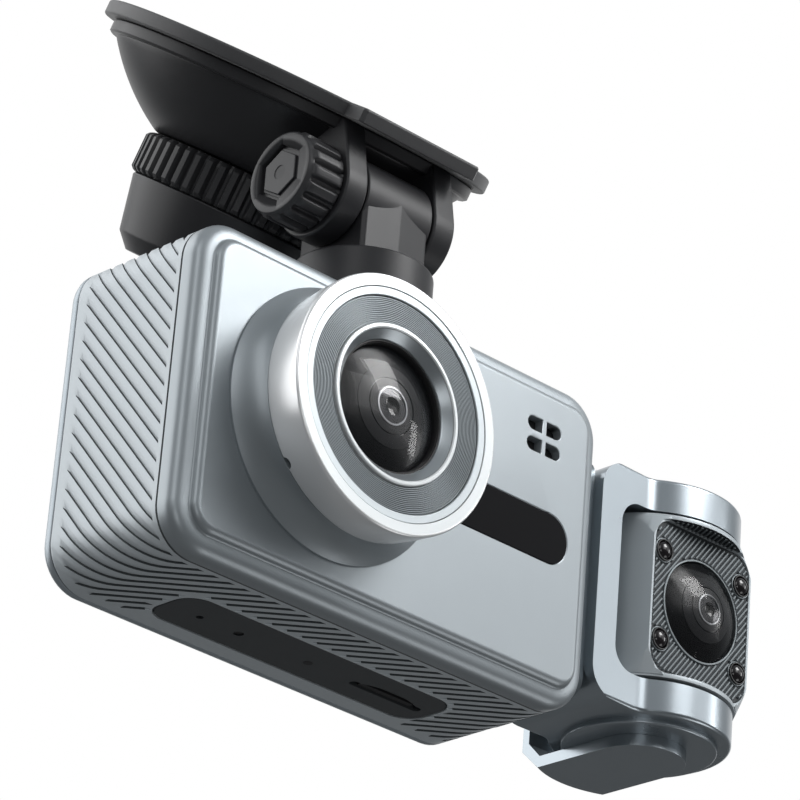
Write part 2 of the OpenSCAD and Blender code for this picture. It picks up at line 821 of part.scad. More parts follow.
// Link between the case and the yoke, waisted above and below
module side_link() {
    h0 = case_h / 2 - 2.8;
    h1 = yoke_h / 2;
    sag = 2.4;
    color(silver) at_case() difference() {
        translate([case_w / 2, yoke_y + web_half - 1.5, 0]) rotate([90, 0, 0]) linear_extrude(2 * web_half - 3.5)
            polygon(concat(
                [for (i = [0:8]) [link_w * i / 8, -h0 + (h0 - h1) * i / 8 + sag * sin(180 * i / 8)]],
                [for (i = [8:-1:0]) [link_w * i / 8, h0 - (h0 - h1) * i / 8 - sag * sin(180 * i / 8)]]));
        for (z = [-11, 11]) translate([0, yoke_y, side_z + z]) rod_x(1.2, 0, case_w);
    }
}

// Yoke seen from above, from the swivel axis
module yoke_plan() {
    sink = 0.05;                                 // the fillet runs this far into the lug
    dx = sqrt(pow(yoke_r + yoke_fillet - sink, 2) - pow(web_half + yoke_fillet, 2));
    k = (yoke_r - 10 * sink) / (yoke_r + yoke_fillet);
    circle(yoke_r);
    translate([web_x - yoke_x, -web_half]) square([yoke_x - web_x, 2 * web_half]);
    for (s = [0, 1]) mirror([0, s]) difference() {
        polygon([[-dx, -web_half / 2], [-dx, -web_half - yoke_fillet],
            [-dx * k, -(web_half + yoke_fillet) * k], [-dx * k, -web_half / 2]]);
        translate([-dx, -web_half - yoke_fillet]) circle(yoke_fillet);
    }
}

// Frame with a round lug above and below the head
module side_yoke() {
    span = 2 * (yoke_x + yoke_r - web_x);
    win = 2 * (yoke_x + yoke_r - web_x - web_t);
    color(silver) at_head() difference() {
        intersection() {
            translate([0, 0, -yoke_h / 2]) linear_extrude(yoke_h) yoke_plan();
            translate([web_x - yoke_x + span / 2, 0, 0]) plate_y(span, yoke_h, web_r, -yoke_r - 1, yoke_r + 1);
        }
        translate([web_x - yoke_x + web_t + win / 2, 0, 0])
            plate_y(win, window_h, window_r, -yoke_r - 1, yoke_r + 1);
        both_ends() translate([0, 0, window_h / 2 - 1]) cylinder(r = pivot_r, h = yoke_h);
        for (z = [-11, 11]) translate([web_x - yoke_x, 0, z]) rod_x(1.2, -1, web_t - 1.5);
    }
}

// Thin discs over the screw heads, one on each lug
module yoke_discs() {
    color(silver) at_head() both_ends()
        ring_z(3.3, yoke_r - 2.2, yoke_h / 2, yoke_h / 2 + disc_h);
}

// Strap that wraps the yoke from above, behind and below, with a rounded back
module strap_bracket() {
    in_z = yoke_h / 2 + disc_h;
    out_z = in_z + strap_t;
    cut = 3.4;
    inner = cut - strap_t * 0.4;
    color(silver) at_head() difference() {
        intersection() {
            rotate_extrude($fn = 128) polygon([
                [0, -out_z], [strap_r - cut, -out_z], [strap_r, -out_z + cut],
                [strap_r, out_z - cut], [strap_r - cut, out_z], [0, out_z]
            ]);
            translate([0, 0, -out_z - 1]) linear_extrude(2 * out_z + 2) {
                circle(strap_w / 2);
                translate([-strap_w / 2, 0]) square([strap_w, strap_r + 1]);
            }
        }
        translate([-strap_w / 2 - 1, 0, 0]) rotate([90, 0, 90]) linear_extrude(strap_w + 2) polygon([
            [-strap_w, -in_z], [strap_in - inner, -in_z], [strap_in, -in_z + inner],
            [strap_in, in_z - inner], [strap_in - inner, in_z], [-strap_w, in_z]
        ]);
    }
}

// Shoulder screws that the head turns on
module pivot_screws() {
    color("silver") at_head() both_ends() {
        translate([0, 0, window_h / 2 - 4.4]) cylinder(r = pivot_r, h = yoke_h / 2 - window_h / 2 + 4.9);
        translate([0, 0, yoke_h / 2]) cylinder(r = 3.3, h = disc_h);
    }
}

module friction_washers() {
    color("white") at_head() both_ends() ring_z(pivot_r + run_fit, 5, drum_h / 2, window_h / 2);
}

module head_drum() {
    translate([0, 0, -drum_h / 2]) cylinder(r = drum_r, h = drum_h);
}

// Square front of the head; its corners are drawn in towards the round ends
module head_block() {
    high = drum_h / 2 + 1;
    end_r = drum_r - 0.4;
    intersection() {
        box(-face_w / 2, face_w / 2, -face_out - 0.5, 0, -drum_h / 2 + lip_t / 2, drum_h / 2 - lip_t / 2);
        rotate_extrude($fn = 96) polygon([
            [0, -high], [end_r, -high], [corner_r, -corner_z], [corner_r, corner_z], [end_r, high], [0, high]
        ]);
    }
}

module head_space() {
    difference() {
        translate([0, 0, -drum_h / 2 + head_wall]) cylinder(r = drum_r - head_wall, h = drum_h - 2 * head_wall);
        both_ends() translate([0, 0, drum_h / 2 - 5]) cylinder(r = 4, h = 5);
        box(-drum_r, drum_r, -drum_r, -face_out + face_t + head_wall, -drum_h, drum_h);
    }
}

// Body of the head, open behind and behind the lens
module head_shell() {
    color(graphite) at_head() difference() {
        union() {
            head_drum();
            head_block();
        }
        box(-drum_r - 1, drum_r + 1, cover_y, drum_r + 1, -drum_h, drum_h);
        head_space();
        plate_y(face_w + 0.4, face_h, face_r, -2 * drum_r, -face_out);
        plate_y(face_w - 0.8, face_h - 0.4, face_r - 0.3, -face_out - 1, -face_out + face_t);
        plate_y(2 * side_glass_r + 1.6, 2 * side_glass_r + 0.6, 2, -face_out, -4);
        both_ends() translate([0, 0, drum_h / 2 - 4.5]) cylinder(r = pivot_r + run_fit, h = 9);
        for (x = [-1, 1], z = [-1, 1]) translate([x * lamp_x, 0, z * lamp_z])
            rod_y(lamp_r, -face_out - 1, -face_out + face_t + lamp_tail);
    }
}

module head_cover() {
    color(graphite) at_head() intersection() {
        difference() {
            head_drum();
            head_space();
        }
        box(-drum_r - 1, drum_r + 1, cover_y, drum_r + 1, -drum_h, drum_h);
    }
}

module head_faceplate() {
    color("#5a6066") at_head() difference() {
        plate_y(face_w - 0.9, face_h - 0.5, face_r - 0.35, -face_out, -face_out + face_t);
        rod_y(side_glass_r, -face_out - 1, 0);
        for (x = [-1, 1], z = [-1, 1]) translate([x * lamp_x, 0, z * lamp_z]) rod_y(lamp_r, -face_out - 1, 0);
    }
}

// Four small lamps that light the cabin at night
module infrared_lamps() {
    color("#221418") at_head() for (x = [-1, 1], z = [-1, 1]) translate([x * lamp_x, 0, z * lamp_z]) {
        rod_y(lamp_r, -face_out - 0.1, -face_out + face_t + lamp_tail);
        translate([0, -face_out - 0.1, 0]) turned_y() polygon(concat([[0, 0.1], [lamp_r - 0.4, 0.1]],
            [for (i = [0:5]) [(lamp_r - 0.4) * cos(18 * i), -0.8 * sin(18 * i)]]));
    }
}

module side_glass() {
    color("#0b0d12", 0.6) at_head() translate([0, -face_out + 1.4, 0]) dome_lens(side_glass_r, 2.6, 1.8);
}

module side_barrel() {
    color(black) at_head() difference() {
        union() {
            rod_y(side_glass_r, -face_out + face_t, -face_out + 3);
            rod_y(6, -face_out + 2, -4.2);
        }
        rod_y(4, -face_out, -4);
    }
}

module side_sensor_board() {
    color("#1f5a3c") at_head() {
        plate_y(15, 14, 1, -4.2, -3.2);
        plate_y(4, 4, 0.3, -4.9, -4.1);
    }
}

suction_disc();
pull_stud();
stud_stop();
cup_housing();
hinge_nut();
lock_collar();
knob_insert();
knob_cap();
thumb_knob();
hinge_bolt();
neck();
swivel_washer();
swivel_screw();
turret_base();
front_case();
side_band();
rear_bezel();
screen_glass();
lcd_panel();
case_screws();
main_board();
chip_shield();
battery();
speaker();
speaker_mesh();
name_plate();
port_panel();
microphone();
status_light();
tact_switches();
reset_button();
power_button();
card_socket();
memory_card();
usb_port();
lens_base();
lens_housing();
chrome_ring();
rim_ring();
grooved_ring();
inner_ring();
lens_hood();
front_glass();
lens_barrel();
inner_lens();
lens_holder();
sensor_board();
side_link();
side_yoke();
yoke_discs();
strap_bracket();
pivot_screws();
friction_washers();
head_shell();
head_cover();
head_faceplate();
infrared_lamps();
side_glass();
side_barrel();
side_sensor_board();
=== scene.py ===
"""Dash camera with a suction mount and a swivelling cabin camera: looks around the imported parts."""

import json
import math

import bmesh
import bpy
from mathutils import Matrix, Vector


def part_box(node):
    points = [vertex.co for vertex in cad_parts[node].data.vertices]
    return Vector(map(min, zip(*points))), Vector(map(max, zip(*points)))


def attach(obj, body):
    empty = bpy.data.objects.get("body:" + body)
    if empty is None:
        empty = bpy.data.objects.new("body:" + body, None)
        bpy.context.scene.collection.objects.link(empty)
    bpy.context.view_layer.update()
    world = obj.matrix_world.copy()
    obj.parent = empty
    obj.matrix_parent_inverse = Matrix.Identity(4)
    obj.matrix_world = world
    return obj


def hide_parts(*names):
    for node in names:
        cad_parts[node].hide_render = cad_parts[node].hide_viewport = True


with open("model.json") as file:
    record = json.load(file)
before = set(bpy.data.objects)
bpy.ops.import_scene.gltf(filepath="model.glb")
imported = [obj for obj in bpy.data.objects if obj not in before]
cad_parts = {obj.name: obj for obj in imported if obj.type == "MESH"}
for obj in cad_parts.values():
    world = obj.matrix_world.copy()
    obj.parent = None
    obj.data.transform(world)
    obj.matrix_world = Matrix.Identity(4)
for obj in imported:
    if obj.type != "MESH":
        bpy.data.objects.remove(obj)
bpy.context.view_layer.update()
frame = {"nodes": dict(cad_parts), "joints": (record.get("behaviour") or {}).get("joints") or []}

MM = 0.001

# ---------------------------------------------------------------- places, from the frame

JOINTS = {j["name"]: j for j in frame["joints"]}
HINGE = Vector(JOINTS["tilt"]["pos_m"])
HEAD = Vector(JOINTS["head_swivel"]["pos_m"])
CUP_AXIS = Vector(JOINTS["cup_lock"]["axis"])
TILT = math.atan2(-CUP_AXIS.y, CUP_AXIS.z)


def middle(node):
    low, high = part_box(node)
    return (low + high) / 2


def placed(point, *turns):
    """Placement of a piece drawn in millimetres."""
    m = Matrix.Translation(point)
    for t in turns:
        m = m @ t
    return m @ Matrix.Scale(MM, 4)


case_low, case_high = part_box("side_band")
case_mid = (case_low + case_high) / 2
case_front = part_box("front_case")[0].y
CASE_W = (case_high.x - case_low.x) / MM
CASE_H = (case_high.z - case_low.z) / MM
BAND_0 = (case_low.y - case_front) / MM
BAND_1 = (case_high.y - case_front) / MM
CASE_D = (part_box("rear_bezel")[1].y - case_front) / MM
lens_mid = middle("chrome_ring")
head_mid = middle("side_yoke")

Y_UP = Matrix.Rotation(math.radians(-90), 4, "X")       # local z becomes +Y, local y becomes -Z
AT_CASE = placed(Vector((0, case_front, case_mid.z)))
AT_LENS = placed(Vector((lens_mid.x, case_front, lens_mid.z)))
AT_HEAD = placed(Vector((HEAD.x, HEAD.y, head_mid.z)))
AT_HINGE = placed(HINGE)
AT_CUP = placed(Vector(), Matrix.Rotation(TILT, 4, "X"))

# ---------------------------------------------------------------- outlines and profiles


def arc(cx, cy, r, a0, a1, steps):
    """Points of an arc, angles in degrees."""
    turn = [math.radians(a0 + (a1 - a0) * i / steps) for i in range(steps + 1)]
    return [(cx + r * math.cos(a), cy + r * math.sin(a)) for a in turn]


def soften(corners, steps=4):
    """Closed outline from (x, y, radius) corners, each one rounded."""
    out = []
    count = len(corners)
    for i, (x, y, r) in enumerate(corners):
        here = Vector((x, y))
        if r <= 0:
            out.append((x, y))
            continue
        before = Vector(corners[i - 1][:2]) - here
        after = Vector(corners[(i + 1) % count][:2]) - here
        a, b = before.normalized(), after.normalized()
        half = math.acos(max(-1, min(1, a.dot(b)))) / 2
        reach = min(r / math.tan(half), 0.49 * before.length, 0.49 * after.length)
        radius = reach * math.tan(half)
        centre = here + (a + b).normalized() * (radius / math.sin(half))
        p0, p1 = here + a * reach - centre, here + b * reach - centre
        sweep = p0.angle_signed(p1)
        start = math.atan2(p0.y, p0.x)
        for k in range(steps + 1):
            t = start - sweep * k / steps
            out.append((centre.x + radius * math.cos(t), centre.y + radius * math.sin(t)))
    return out


def rounded_loop(w, h, r, inset=0.0, steps=10):
    """Rounded rectangle, counter-clockwise, moved inwards by inset."""
    out = []
    r1 = max(r - inset, 0.05)
    for cx, cy, a0 in ((1, 1, 0), (-1, 1, 90), (-1, -1, 180), (1, -1, 270)):
        x = cx * (w / 2 - inset - r1)
        y = cy * (h / 2 - inset - r1)
        out += arc(x, y, r1, a0, a0 + 90, steps)
    return out


# ---------------------------------------------------------------- mesh makers


def piece(name, verts, faces, place, body, material, slot, stands_for=(), sharp=35, smooth=True):
    """A closed mesh drawn in mm, put in place, riding on its body."""
    mesh = bpy.data.meshes.new(name)
    mesh.from_pydata([tuple(v) for v in verts], [], faces)
    mesh.transform(place)
    bm = bmesh.new()
    bm.from_mesh(mesh)
    bmesh.ops.remove_doubles(bm, verts=bm.verts, dist=1e-7)
    bmesh.ops.recalc_face_normals(bm, faces=bm.faces)
    bm.to_mesh(mesh)
    bm.free()
    obj = bpy.data.objects.new(name, mesh)
    bpy.context.scene.collection.objects.link(obj)
    mesh.materials.append(material)
    shade(obj, sharp, smooth)
    if body:
        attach(obj, body)
        if stands_for:
            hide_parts(*stands_for)
    return obj


def shade(obj, sharp=35, smooth=True):
    """Smooth shading up to an angle, with large faces keeping their own direction."""
    mesh = obj.data
    mesh.polygons.foreach_set("use_smooth", [smooth] * len(mesh.polygons))
    if smooth:
        mesh.set_sharp_from_angle(angle=math.radians(sharp))
    if "weight" not in obj.modifiers:
        mod = obj.modifiers.new("weight", "WEIGHTED_NORMAL")
        mod.keep_sharp = True
        mod.weight = 50


def loft(loops, closed=False, cap=True):
    """Skin over loops of equal length. closed joins the last loop to the first."""
    n = len(loops[0])
    verts = [v for loop in loops for v in loop]
    faces = []
    rows = len(loops) if closed else len(loops) - 1
    for j in range(rows):
        a, b = j * n, ((j + 1) % len(loops)) * n
        faces += [(a + i, a + (i + 1) % n, b + (i + 1) % n, b + i) for i in range(n)]
    if cap and not closed:
        faces.append(tuple(range(n)))
        faces.append(tuple(range((len(loops) - 1) * n, len(loops) * n)))
    return verts, faces


def lathe(profile, steps=96, closed=True, shape=None):
    """Turned piece about local z from (radius, height) points.

    shape(radius, height, angle) may change a radius.
    """
    loops = []
    for k in range(steps):
        a = 2 * math.pi * k / steps
        ring = []
        for r, h in profile:
            rr = shape(r, h, a) if shape else r
            ring.append((rr * math.cos(a), rr * math.sin(a), h))
        loops.append(ring)
    n = len(profile)
    verts = [v for ring in loops for v in ring]
    faces = []
    for k in range(steps):
        a, b = k * n, ((k + 1) % steps) * n
        for i in range(n if closed else n - 1):
            j = (i + 1) % n
            if profile[i][0] < 1e-6 and profile[j][0] < 1e-6:
                continue
            faces.append((a + i, a + j, b + j, b + i))
    return verts, faces


def prism(outline, z0, z1, round0=0.0, round1=0.0, steps=3):
    """Plate over an outline, its edges rounded by moving the outline inwards."""
    n = len(outline)
    normals = []
    for i in range(n):
        a, b = Vector(outline[i - 1]), Vector(outline[(i + 1) % n])
        d = (b - a).normalized()
        normals.append(Vector((-d.y, d.x)))
    area = sum(outline[i - 1][0] * outline[i][1] - outline[i][0] * outline[i - 1][1] for i in range(n))
    side = 1 if area > 0 else -1

    def ring(inset, z):
        return [(p[0] + side * q.x * inset, p[1] + side * q.y * inset, z) for p, q in zip(outline, normals)]

    loops = []
    for k in range(steps + 1 if round0 else 1):
        t = math.radians(90 * k / steps) if round0 else 0
        loops.append(ring(round0 * (1 - math.sin(t)), z0 + round0 * (1 - math.cos(t))))
    for k in range(steps + 1 if round1 else 1):
        t = math.radians(90 * k / steps) if round1 else 0
        loops.append(ring(round1 * (1 - math.cos(t)), z1 - round1 * (1 - math.sin(t))))
    return loft(loops)


def join(*parts):
    """Several (verts, faces) as one."""
    verts, faces = [], []
    for v, f in parts:
        base = len(verts)
        verts += list(v)
        faces += [tuple(i + base for i in face) for face in f]
    return verts, faces


def moved(part, matrix):
    verts, faces = part
    return [tuple(matrix @ Vector(v)) for v in verts], faces


def shift(x=0.0, y=0.0, z=0.0):
    return Matrix.Translation((x, y, z))


def turn(axis, degrees):
    return Matrix.Rotation(math.radians(degrees), 4, axis)


def bake(obj, mod):
    """Applies a modifier to the mesh."""
    bpy.context.view_layer.update()
    graph = bpy.context.evaluated_depsgraph_get()
    mesh = bpy.data.meshes.new_from_object(obj.evaluated_get(graph))
    obj.modifiers.remove(mod)
    obj.data = mesh


def carve(obj, cutters, place, mode="DIFFERENCE", sharp=35):
    """Cuts closed shapes, drawn in mm, out of a piece."""
    for verts, faces in cutters:
        tool = piece("cutter", verts, faces, place, None, obj.data.materials[0], None)
        mod = obj.modifiers.new("cut", "BOOLEAN")
        mod.operation = mode
        mod.solver = "EXACT"
        mod.object = tool
        bake(obj, mod)
        bpy.data.objects.remove(tool)
    shade(obj, sharp)
    return obj


def bevel(obj, width, segments=3, angle=40):
    """Rounded edges, applied, with clean shading."""
    mod = obj.modifiers.new("edge", "BEVEL")
    mod.width = width * MM
    mod.segments = segments
    mod.limit_method = "ANGLE"
    mod.angle_limit = math.radians(angle)
    mod.use_clamp_overlap = True
    mod.harden_normals = False
    bake(obj, mod)
    shade(obj, angle)
    return obj


# ---------------------------------------------------------------- materials


def shader(name):
    mat = bpy.data.materials.new(name)
    mat.use_nodes = True
    nodes = mat.node_tree.nodes
    return mat, nodes, mat.node_tree.links, nodes["Principled BSDF"]


def add(nodes, kind, **settings):
    node = nodes.new(kind)
    for key, value in settings.items():
        if key in node.inputs:
            node.inputs[key].default_value = value
        else:
            setattr(node, key, value)
    return node


def surface(name, colour, rough, metal=0.0, grain=0.0, grain_mm=0.15, vary=0.06, vary_mm=6.0,
            coat=0.0, coat_rough=0.1, specular=0.5, alpha=1.0, ior=1.5, sheen=0.0, marks=0.05):
    """Moulded, painted or turned surface: fine grain in the bump, slow drift in colour and gloss."""
    mat, nodes, links, bsdf = shader(name)
    place = add(nodes, "ShaderNodeTexCoord")
    drift = add(nodes, "ShaderNodeTexNoise", Scale=1 / (vary_mm * MM), Detail=2.0)
    links.new(place.outputs["Object"], drift.inputs["Vector"])
    tone = add(nodes, "ShaderNodeMix", data_type="RGBA")
    dark = [c * (1 - vary) for c in colour] + [1]
    light = [min(1, c * (1 + vary)) for c in colour] + [1]
    tone.inputs["A"].default_value = dark
    tone.inputs["B"].default_value = light
    links.new(drift.outputs["Fac"], tone.inputs["Factor"])
    links.new(tone.outputs["Result"], bsdf.inputs["Base Color"])
    smudge = add(nodes, "ShaderNodeMapRange")
    smudge.inputs["To Min"].default_value = rough * (1 - marks)
    smudge.inputs["To Max"].default_value = min(1, rough * (1 + marks))
    links.new(drift.outputs["Fac"], smudge.inputs["Value"])
    links.new(smudge.outputs["Result"], bsdf.inputs["Roughness"])
    if grain:
        fine = add(nodes, "ShaderNodeTexNoise", Scale=1 / (grain_mm * MM), Detail=3.0)
        links.new(place.outputs["Object"], fine.inputs["Vector"])
        bump = add(nodes, "ShaderNodeBump", Strength=grain, Distance=0.02 * MM)
        links.new(fine.outputs["Fac"], bump.inputs["Height"])
        links.new(bump.outputs["Normal"], bsdf.inputs["Normal"])
    bsdf.inputs["Metallic"].default_value = metal
    bsdf.inputs["Specular IOR Level"].default_value = specular
    bsdf.inputs["Coat Weight"].default_value = coat
    bsdf.inputs["Coat Roughness"].default_value = coat_rough
    bsdf.inputs["Sheen Weight"].default_value = sheen
    bsdf.inputs["IOR"].default_value = ior
    bsdf.inputs["Alpha"].default_value = alpha
    return mat


def make_materials():
    m = {}
    m["silver"] = surface("silver_paint", (0.3, 0.33, 0.35), 0.4, metal=0.6, grain=0.25, grain_mm=0.12,
                          vary=0.02, coat=0.15, coat_rough=0.3)
    m["band"] = surface("grained_silver", (0.5, 0.54, 0.565), 0.5, metal=0.35, grain=0.7, grain_mm=0.16,
                        vary=0.05, vary_mm=0.5)
    m["arm"] = surface("satin_silver", (0.36, 0.4, 0.43), 0.28, metal=0.9, grain=0.15, grain_mm=0.1,
                       vary=0.02)
    # Darker copy of satin_silver for the link: painted shade.
    m["arm_dark"] = surface("satin_shade", (0.22, 0.25, 0.27), 0.4, metal=0.8, grain=0.2, grain_mm=0.1,
                            vary=0.02)
    m["white_ring"] = surface("white_metal", (0.7, 0.73, 0.74), 0.3, metal=0.3, vary=0.01)
    # Near-white, half-diffuse silver for the chrome band: painted reflection in place of what the chrome
    # would mirror.
    m["bright"] = surface("satin_bright", (0.85, 0.86, 0.87), 0.26, metal=0.5, vary=0.01)
    m["turned"] = surface("turned_grey", (0.15, 0.168, 0.178), 0.34, metal=0.6, vary=0.03)
    m["black"] = surface("black_plastic", (0.02, 0.02, 0.022), 0.4, grain=0.35, grain_mm=0.12, vary=0.08,
                         specular=0.3)
    m["rubber"] = surface("soft_black", (0.03, 0.03, 0.032), 0.5, grain=0.3, grain_mm=0.2, vary=0.1,
                          sheen=0.2)
    m["matt_black"] = surface("matt_black", (0.008, 0.008, 0.009), 0.6, grain=0.2, vary=0.1)
    m["gloss_black"] = surface("gloss_black", (0.004, 0.004, 0.005), 0.06, coat=0.6, coat_rough=0.03,
                               vary=0.1,
                               specular=0.6)
    m["panel"] = surface("panel_grey", (0.032, 0.036, 0.039), 0.5, grain=0.3, grain_mm=0.12, vary=0.04)
    m["head"] = surface("head_silver", (0.42, 0.46, 0.485), 0.42, metal=0.35, grain=0.2, grain_mm=0.12,
                        vary=0.03)
    m["face"] = surface("face_grey", (0.03, 0.034, 0.038), 0.5, metal=0.3, vary=0.03)
    m["steel"] = surface("plated_steel", (0.6, 0.61, 0.63), 0.3, metal=1.0, vary=0.05)
    m["brass"] = surface("brass", (0.72, 0.55, 0.27), 0.3, metal=1.0, vary=0.05)
    m["board"] = surface("solder_mask", (0.02, 0.12, 0.06), 0.35, vary=0.15, vary_mm=2.0)
    m["wrap"] = surface("cell_wrap", (0.05, 0.08, 0.28), 0.3, vary=0.05)
    m["nylon"] = surface("nylon", (0.8, 0.8, 0.78), 0.5, vary=0.03)
    m["glass"] = surface("coated_glass", (0.006, 0.007, 0.008), 0.03, alpha=0.25, ior=1.5, vary=0.02,
                         specular=0.4)
    m["cover"] = surface("cover_glass", (0.006, 0.007, 0.008), 0.05, vary=0.02, coat=0.5, coat_rough=0.03)
    m["bezel"] = surface("bezel_silver", (0.36, 0.4, 0.43), 0.42, metal=0.7, grain=0.3, grain_mm=0.14,
                         vary=0.02)
    m["knob"] = surface("knob_black", (0.024, 0.024, 0.026), 0.42, grain=0.4, grain_mm=0.14, vary=0.08,
                        specular=0.35)
    m["plate"] = surface("plate_black", (0.004, 0.004, 0.005), 0.14, vary=0.1, specular=0.06)
    m["pale"] = surface("pale_metal", (0.48, 0.52, 0.54), 0.34, metal=0.5, vary=0.01)
    m["cone"] = surface("cone_grey", (0.34, 0.37, 0.39), 0.3, metal=0.8, vary=0.02)
    m["dark_mirror"] = surface("dark_mirror", (0.12, 0.12, 0.125), 0.12, metal=0.9, vary=0.05)
    m["lens_grey"] = surface("lens_grey", (0.06, 0.06, 0.063), 0.3, vary=0.05)
    m["lens_mid"] = surface("lens_mid", (0.045, 0.045, 0.048), 0.25, vary=0.05)
    m["lens_dark"] = surface("lens_dark", (0.012, 0.012, 0.013), 0.2, vary=0.05)
    m["lamp"] = surface("lamp_glass", (0.006, 0.004, 0.005), 0.05, vary=0.02, specular=0.6)
    # Lighter copy of face_grey: painted highlight on the ribs, also used on the glass collar and the lamp
    # seats.
    m["face_rib"] = surface("face_rib", (0.17, 0.19, 0.2), 0.36, metal=0.6, vary=0.03)
    # groove_shade: darker copy of the band's silver for the groove walls, painted shade.
    m["groove"] = surface("groove_shade", (0.06, 0.068, 0.072), 0.6, metal=0.2, vary=0.03)
    m["screen"] = surface("dark_screen", (0.012, 0.014, 0.018), 0.25, vary=0.05)
    return m


MAT = make_materials()

# ---------------------------------------------------------------- case

CASE_R = 7.0
WALL = 1.74
LENS_HOLE_R = 17.35


def on_case(loop, y):
    """Loop of (x, z) points at a depth."""
    return [(x, y, z) for x, z in loop]


def case_loop(inset, y, steps=12):
    return on_case(rounded_loop(CASE_W, CASE_H, CASE_R, inset, steps), y)


def upright(outline, y0, y1, chamfer=0.0):
    """Cutter or plate over (x, z) points, wider by chamfer at its front."""
    n = len(outline)
    cx = sum(p[0] for p in outline) / n
    cz = sum(p[1] for p in outline) / n

    def grown(g, y):
        out = []
        for i in range(n):
            a, b = Vector(outline[i - 1]), Vector(outline[(i + 1) % n])
            d = (b - a).normalized()
            q = Vector((d.y, -d.x))
            if q.dot(Vector((outline[i][0] - cx, outline[i][1] - cz))) < 0:
                q = -q
            out.append((outline[i][0] + q.x * g, y, outline[i][1] + q.y * g))
        return out

    if chamfer:
        return loft([grown(chamfer + 0.4, y0 - 0.4), grown(0, y0 + chamfer), grown(0, y1)])
    return loft([grown(0, y0), grown(0, y1)])


PLATE = [(3.6, -4.9)] + arc(31.4, -0.6, 4.3, -90, 90, 20) + [(3.6, 3.7)]


def slot_shapes():
    """The four speaker slots: two rows of two, round at their outer ends."""
    shapes = []
    for z in (13.85, 17.35):
        left = arc(26.6, z, 1.15, 90, 270, 8) + [(28.65, z - 1.15), (28.65, z + 1.15)]
        right = [(29.55, z + 1.15), (29.55, z - 1.15)] + arc(31.6, z, 1.15, -90, 90, 8)
        shapes += [left, right]
    return shapes


def build_front():
    """Front shell: a flush bead at the seam, a shallow step, then a tighter round up to the face."""
    seam = 5.0
    profile = [(0.12, seam), (0.0, seam - 0.15), (0.0, 3.5)]
    profile += [(2.1 - 2.1 * math.cos(math.radians(a)), 3.5 - 2.1 * math.sin(math.radians(a)))
                for a in range(12, 81, 11)]
    profile += [(2.15, 1.33), (2.65, 1.27), (2.95, 1.16)]
    profile += [(4.2 - 1.25 * math.cos(math.radians(a)), 1.15 - 1.15 * math.sin(math.radians(a)))
                for a in range(15, 91, 15)]
    loops = [case_loop(WALL, WALL), case_loop(WALL, seam)] + [case_loop(i, y) for i, y in profile]
    verts, faces = loft(loops)
    obj = piece("case_front", verts, faces, AT_CASE, "camera", MAT["silver"], "case_silver", ["front_case"],
                50)
    cutters = [upright(arc(lens_mid.x / MM, (lens_mid.z - case_mid.z) / MM, LENS_HOLE_R, 0, 355, 71), -1, 6)]
    cutters += [upright(s, 0, 6, 0.15) for s in slot_shapes()]
    cutters.append(upright(PLATE, -1, 0.62))
    carve(obj, cutters, AT_CASE, sharp=50)
    return obj


def build_plate():
    """Bare gloss plate, a little proud of its pocket's floor with a softened edge."""
    outline = [(3.7, -4.78)] + arc(31.4, -0.6, 4.18, -90, 90, 20) + [(3.7, 3.58)]
    verts, faces = prism([(x, -z) for x, z in outline], 0.05, 0.6, 0.2, 0)
    piece("logo_plate", verts, faces, AT_CASE @ turn("X", -90), "camera", MAT["plate"], "plate_black",
          ["name_plate"])


GROOVE_PITCH = 3.03
GROOVE_SLANT = 1.10
GROOVE_NEAR = 6.1
GROOVE_FAR = 26.5
GROOVE_DEEP = 0.32
SEAM_DEEP = 0.25
FLAT_HALF = 31                                  # half the length of the roof and bottom that is flat
FLAT_NEAR = 3                                   # how near the roof or bottom a point has to be
PANEL = (0.45, 19.5, 54.9, 11.4, 4.0)          # middle x, middle y, width, depth, corner radius


def band_place(s, r=CASE_R):
    """Point (x, z) and outward normal at a distance s round the case.

    It starts at the middle of the left side and goes down.
    """
    straight_z = CASE_H / 2 - r
    straight_x = CASE_W / 2 - r
    quarter = math.pi * r / 2
    total = 4 * (straight_z + straight_x + quarter)
    s %= total
    runs = [
        (straight_z, (-CASE_W / 2, 0), (0, -1), (-1, 0)),
        (quarter, (-straight_x, -straight_z), 180, None),
        (2 * straight_x, (-straight_x, -CASE_H / 2), (1, 0), (0, -1)),
        (quarter, (straight_x, -straight_z), 270, None),
        (2 * straight_z, (CASE_W / 2, -straight_z), (0, 1), (1, 0)),
        (quarter, (straight_x, straight_z), 0, None),
        (2 * straight_x, (straight_x, CASE_H / 2), (-1, 0), (0, 1)),
        (quarter, (-straight_x, straight_z), 90, None),
        (straight_z, (-CASE_W / 2, straight_z), (0, -1), (-1, 0)),
    ]
    for length, start, way, out in runs:
        if s <= length + 1e-9:
            if out:
                return (start[0] + way[0] * s, start[1] + way[1] * s), out
            a = math.radians(way) + s / r
            q = (math.cos(a), math.sin(a))
            return (start[0] + r * q[0], start[1] + r * q[1]), q
        s -= length
    return (-CASE_W / 2, 0), (-1, 0)


def band_length(r=CASE_R):
    return 4 * (CASE_H / 2 - r + CASE_W / 2 - r + math.pi * r / 2)


def near_panel(x, y, margin):
    px, py, w, d, r = PANEL
    dx = max(abs(x - px) - (w / 2 - r), 0)
    dy = max(abs(y - py) - (d / 2 - r), 0)
    return math.hypot(dx, dy) < r + margin


def groove_fades(x, z, y):
    """Whether the groove is left out: at its ends, round the bottom panel and on most of the roof."""
    if y < GROOVE_NEAR or y > GROOVE_FAR:
        return True
    if z > 0 and abs(x) < FLAT_HALF and z > CASE_H / 2 - FLAT_NEAR:
        return True
    if z < -CASE_H / 2 + FLAT_NEAR and abs(x) < FLAT_HALF:
        return near_panel(x, y, 0.8) or (y > 19 and abs(x - PANEL[0]) < 27.5)
    return False


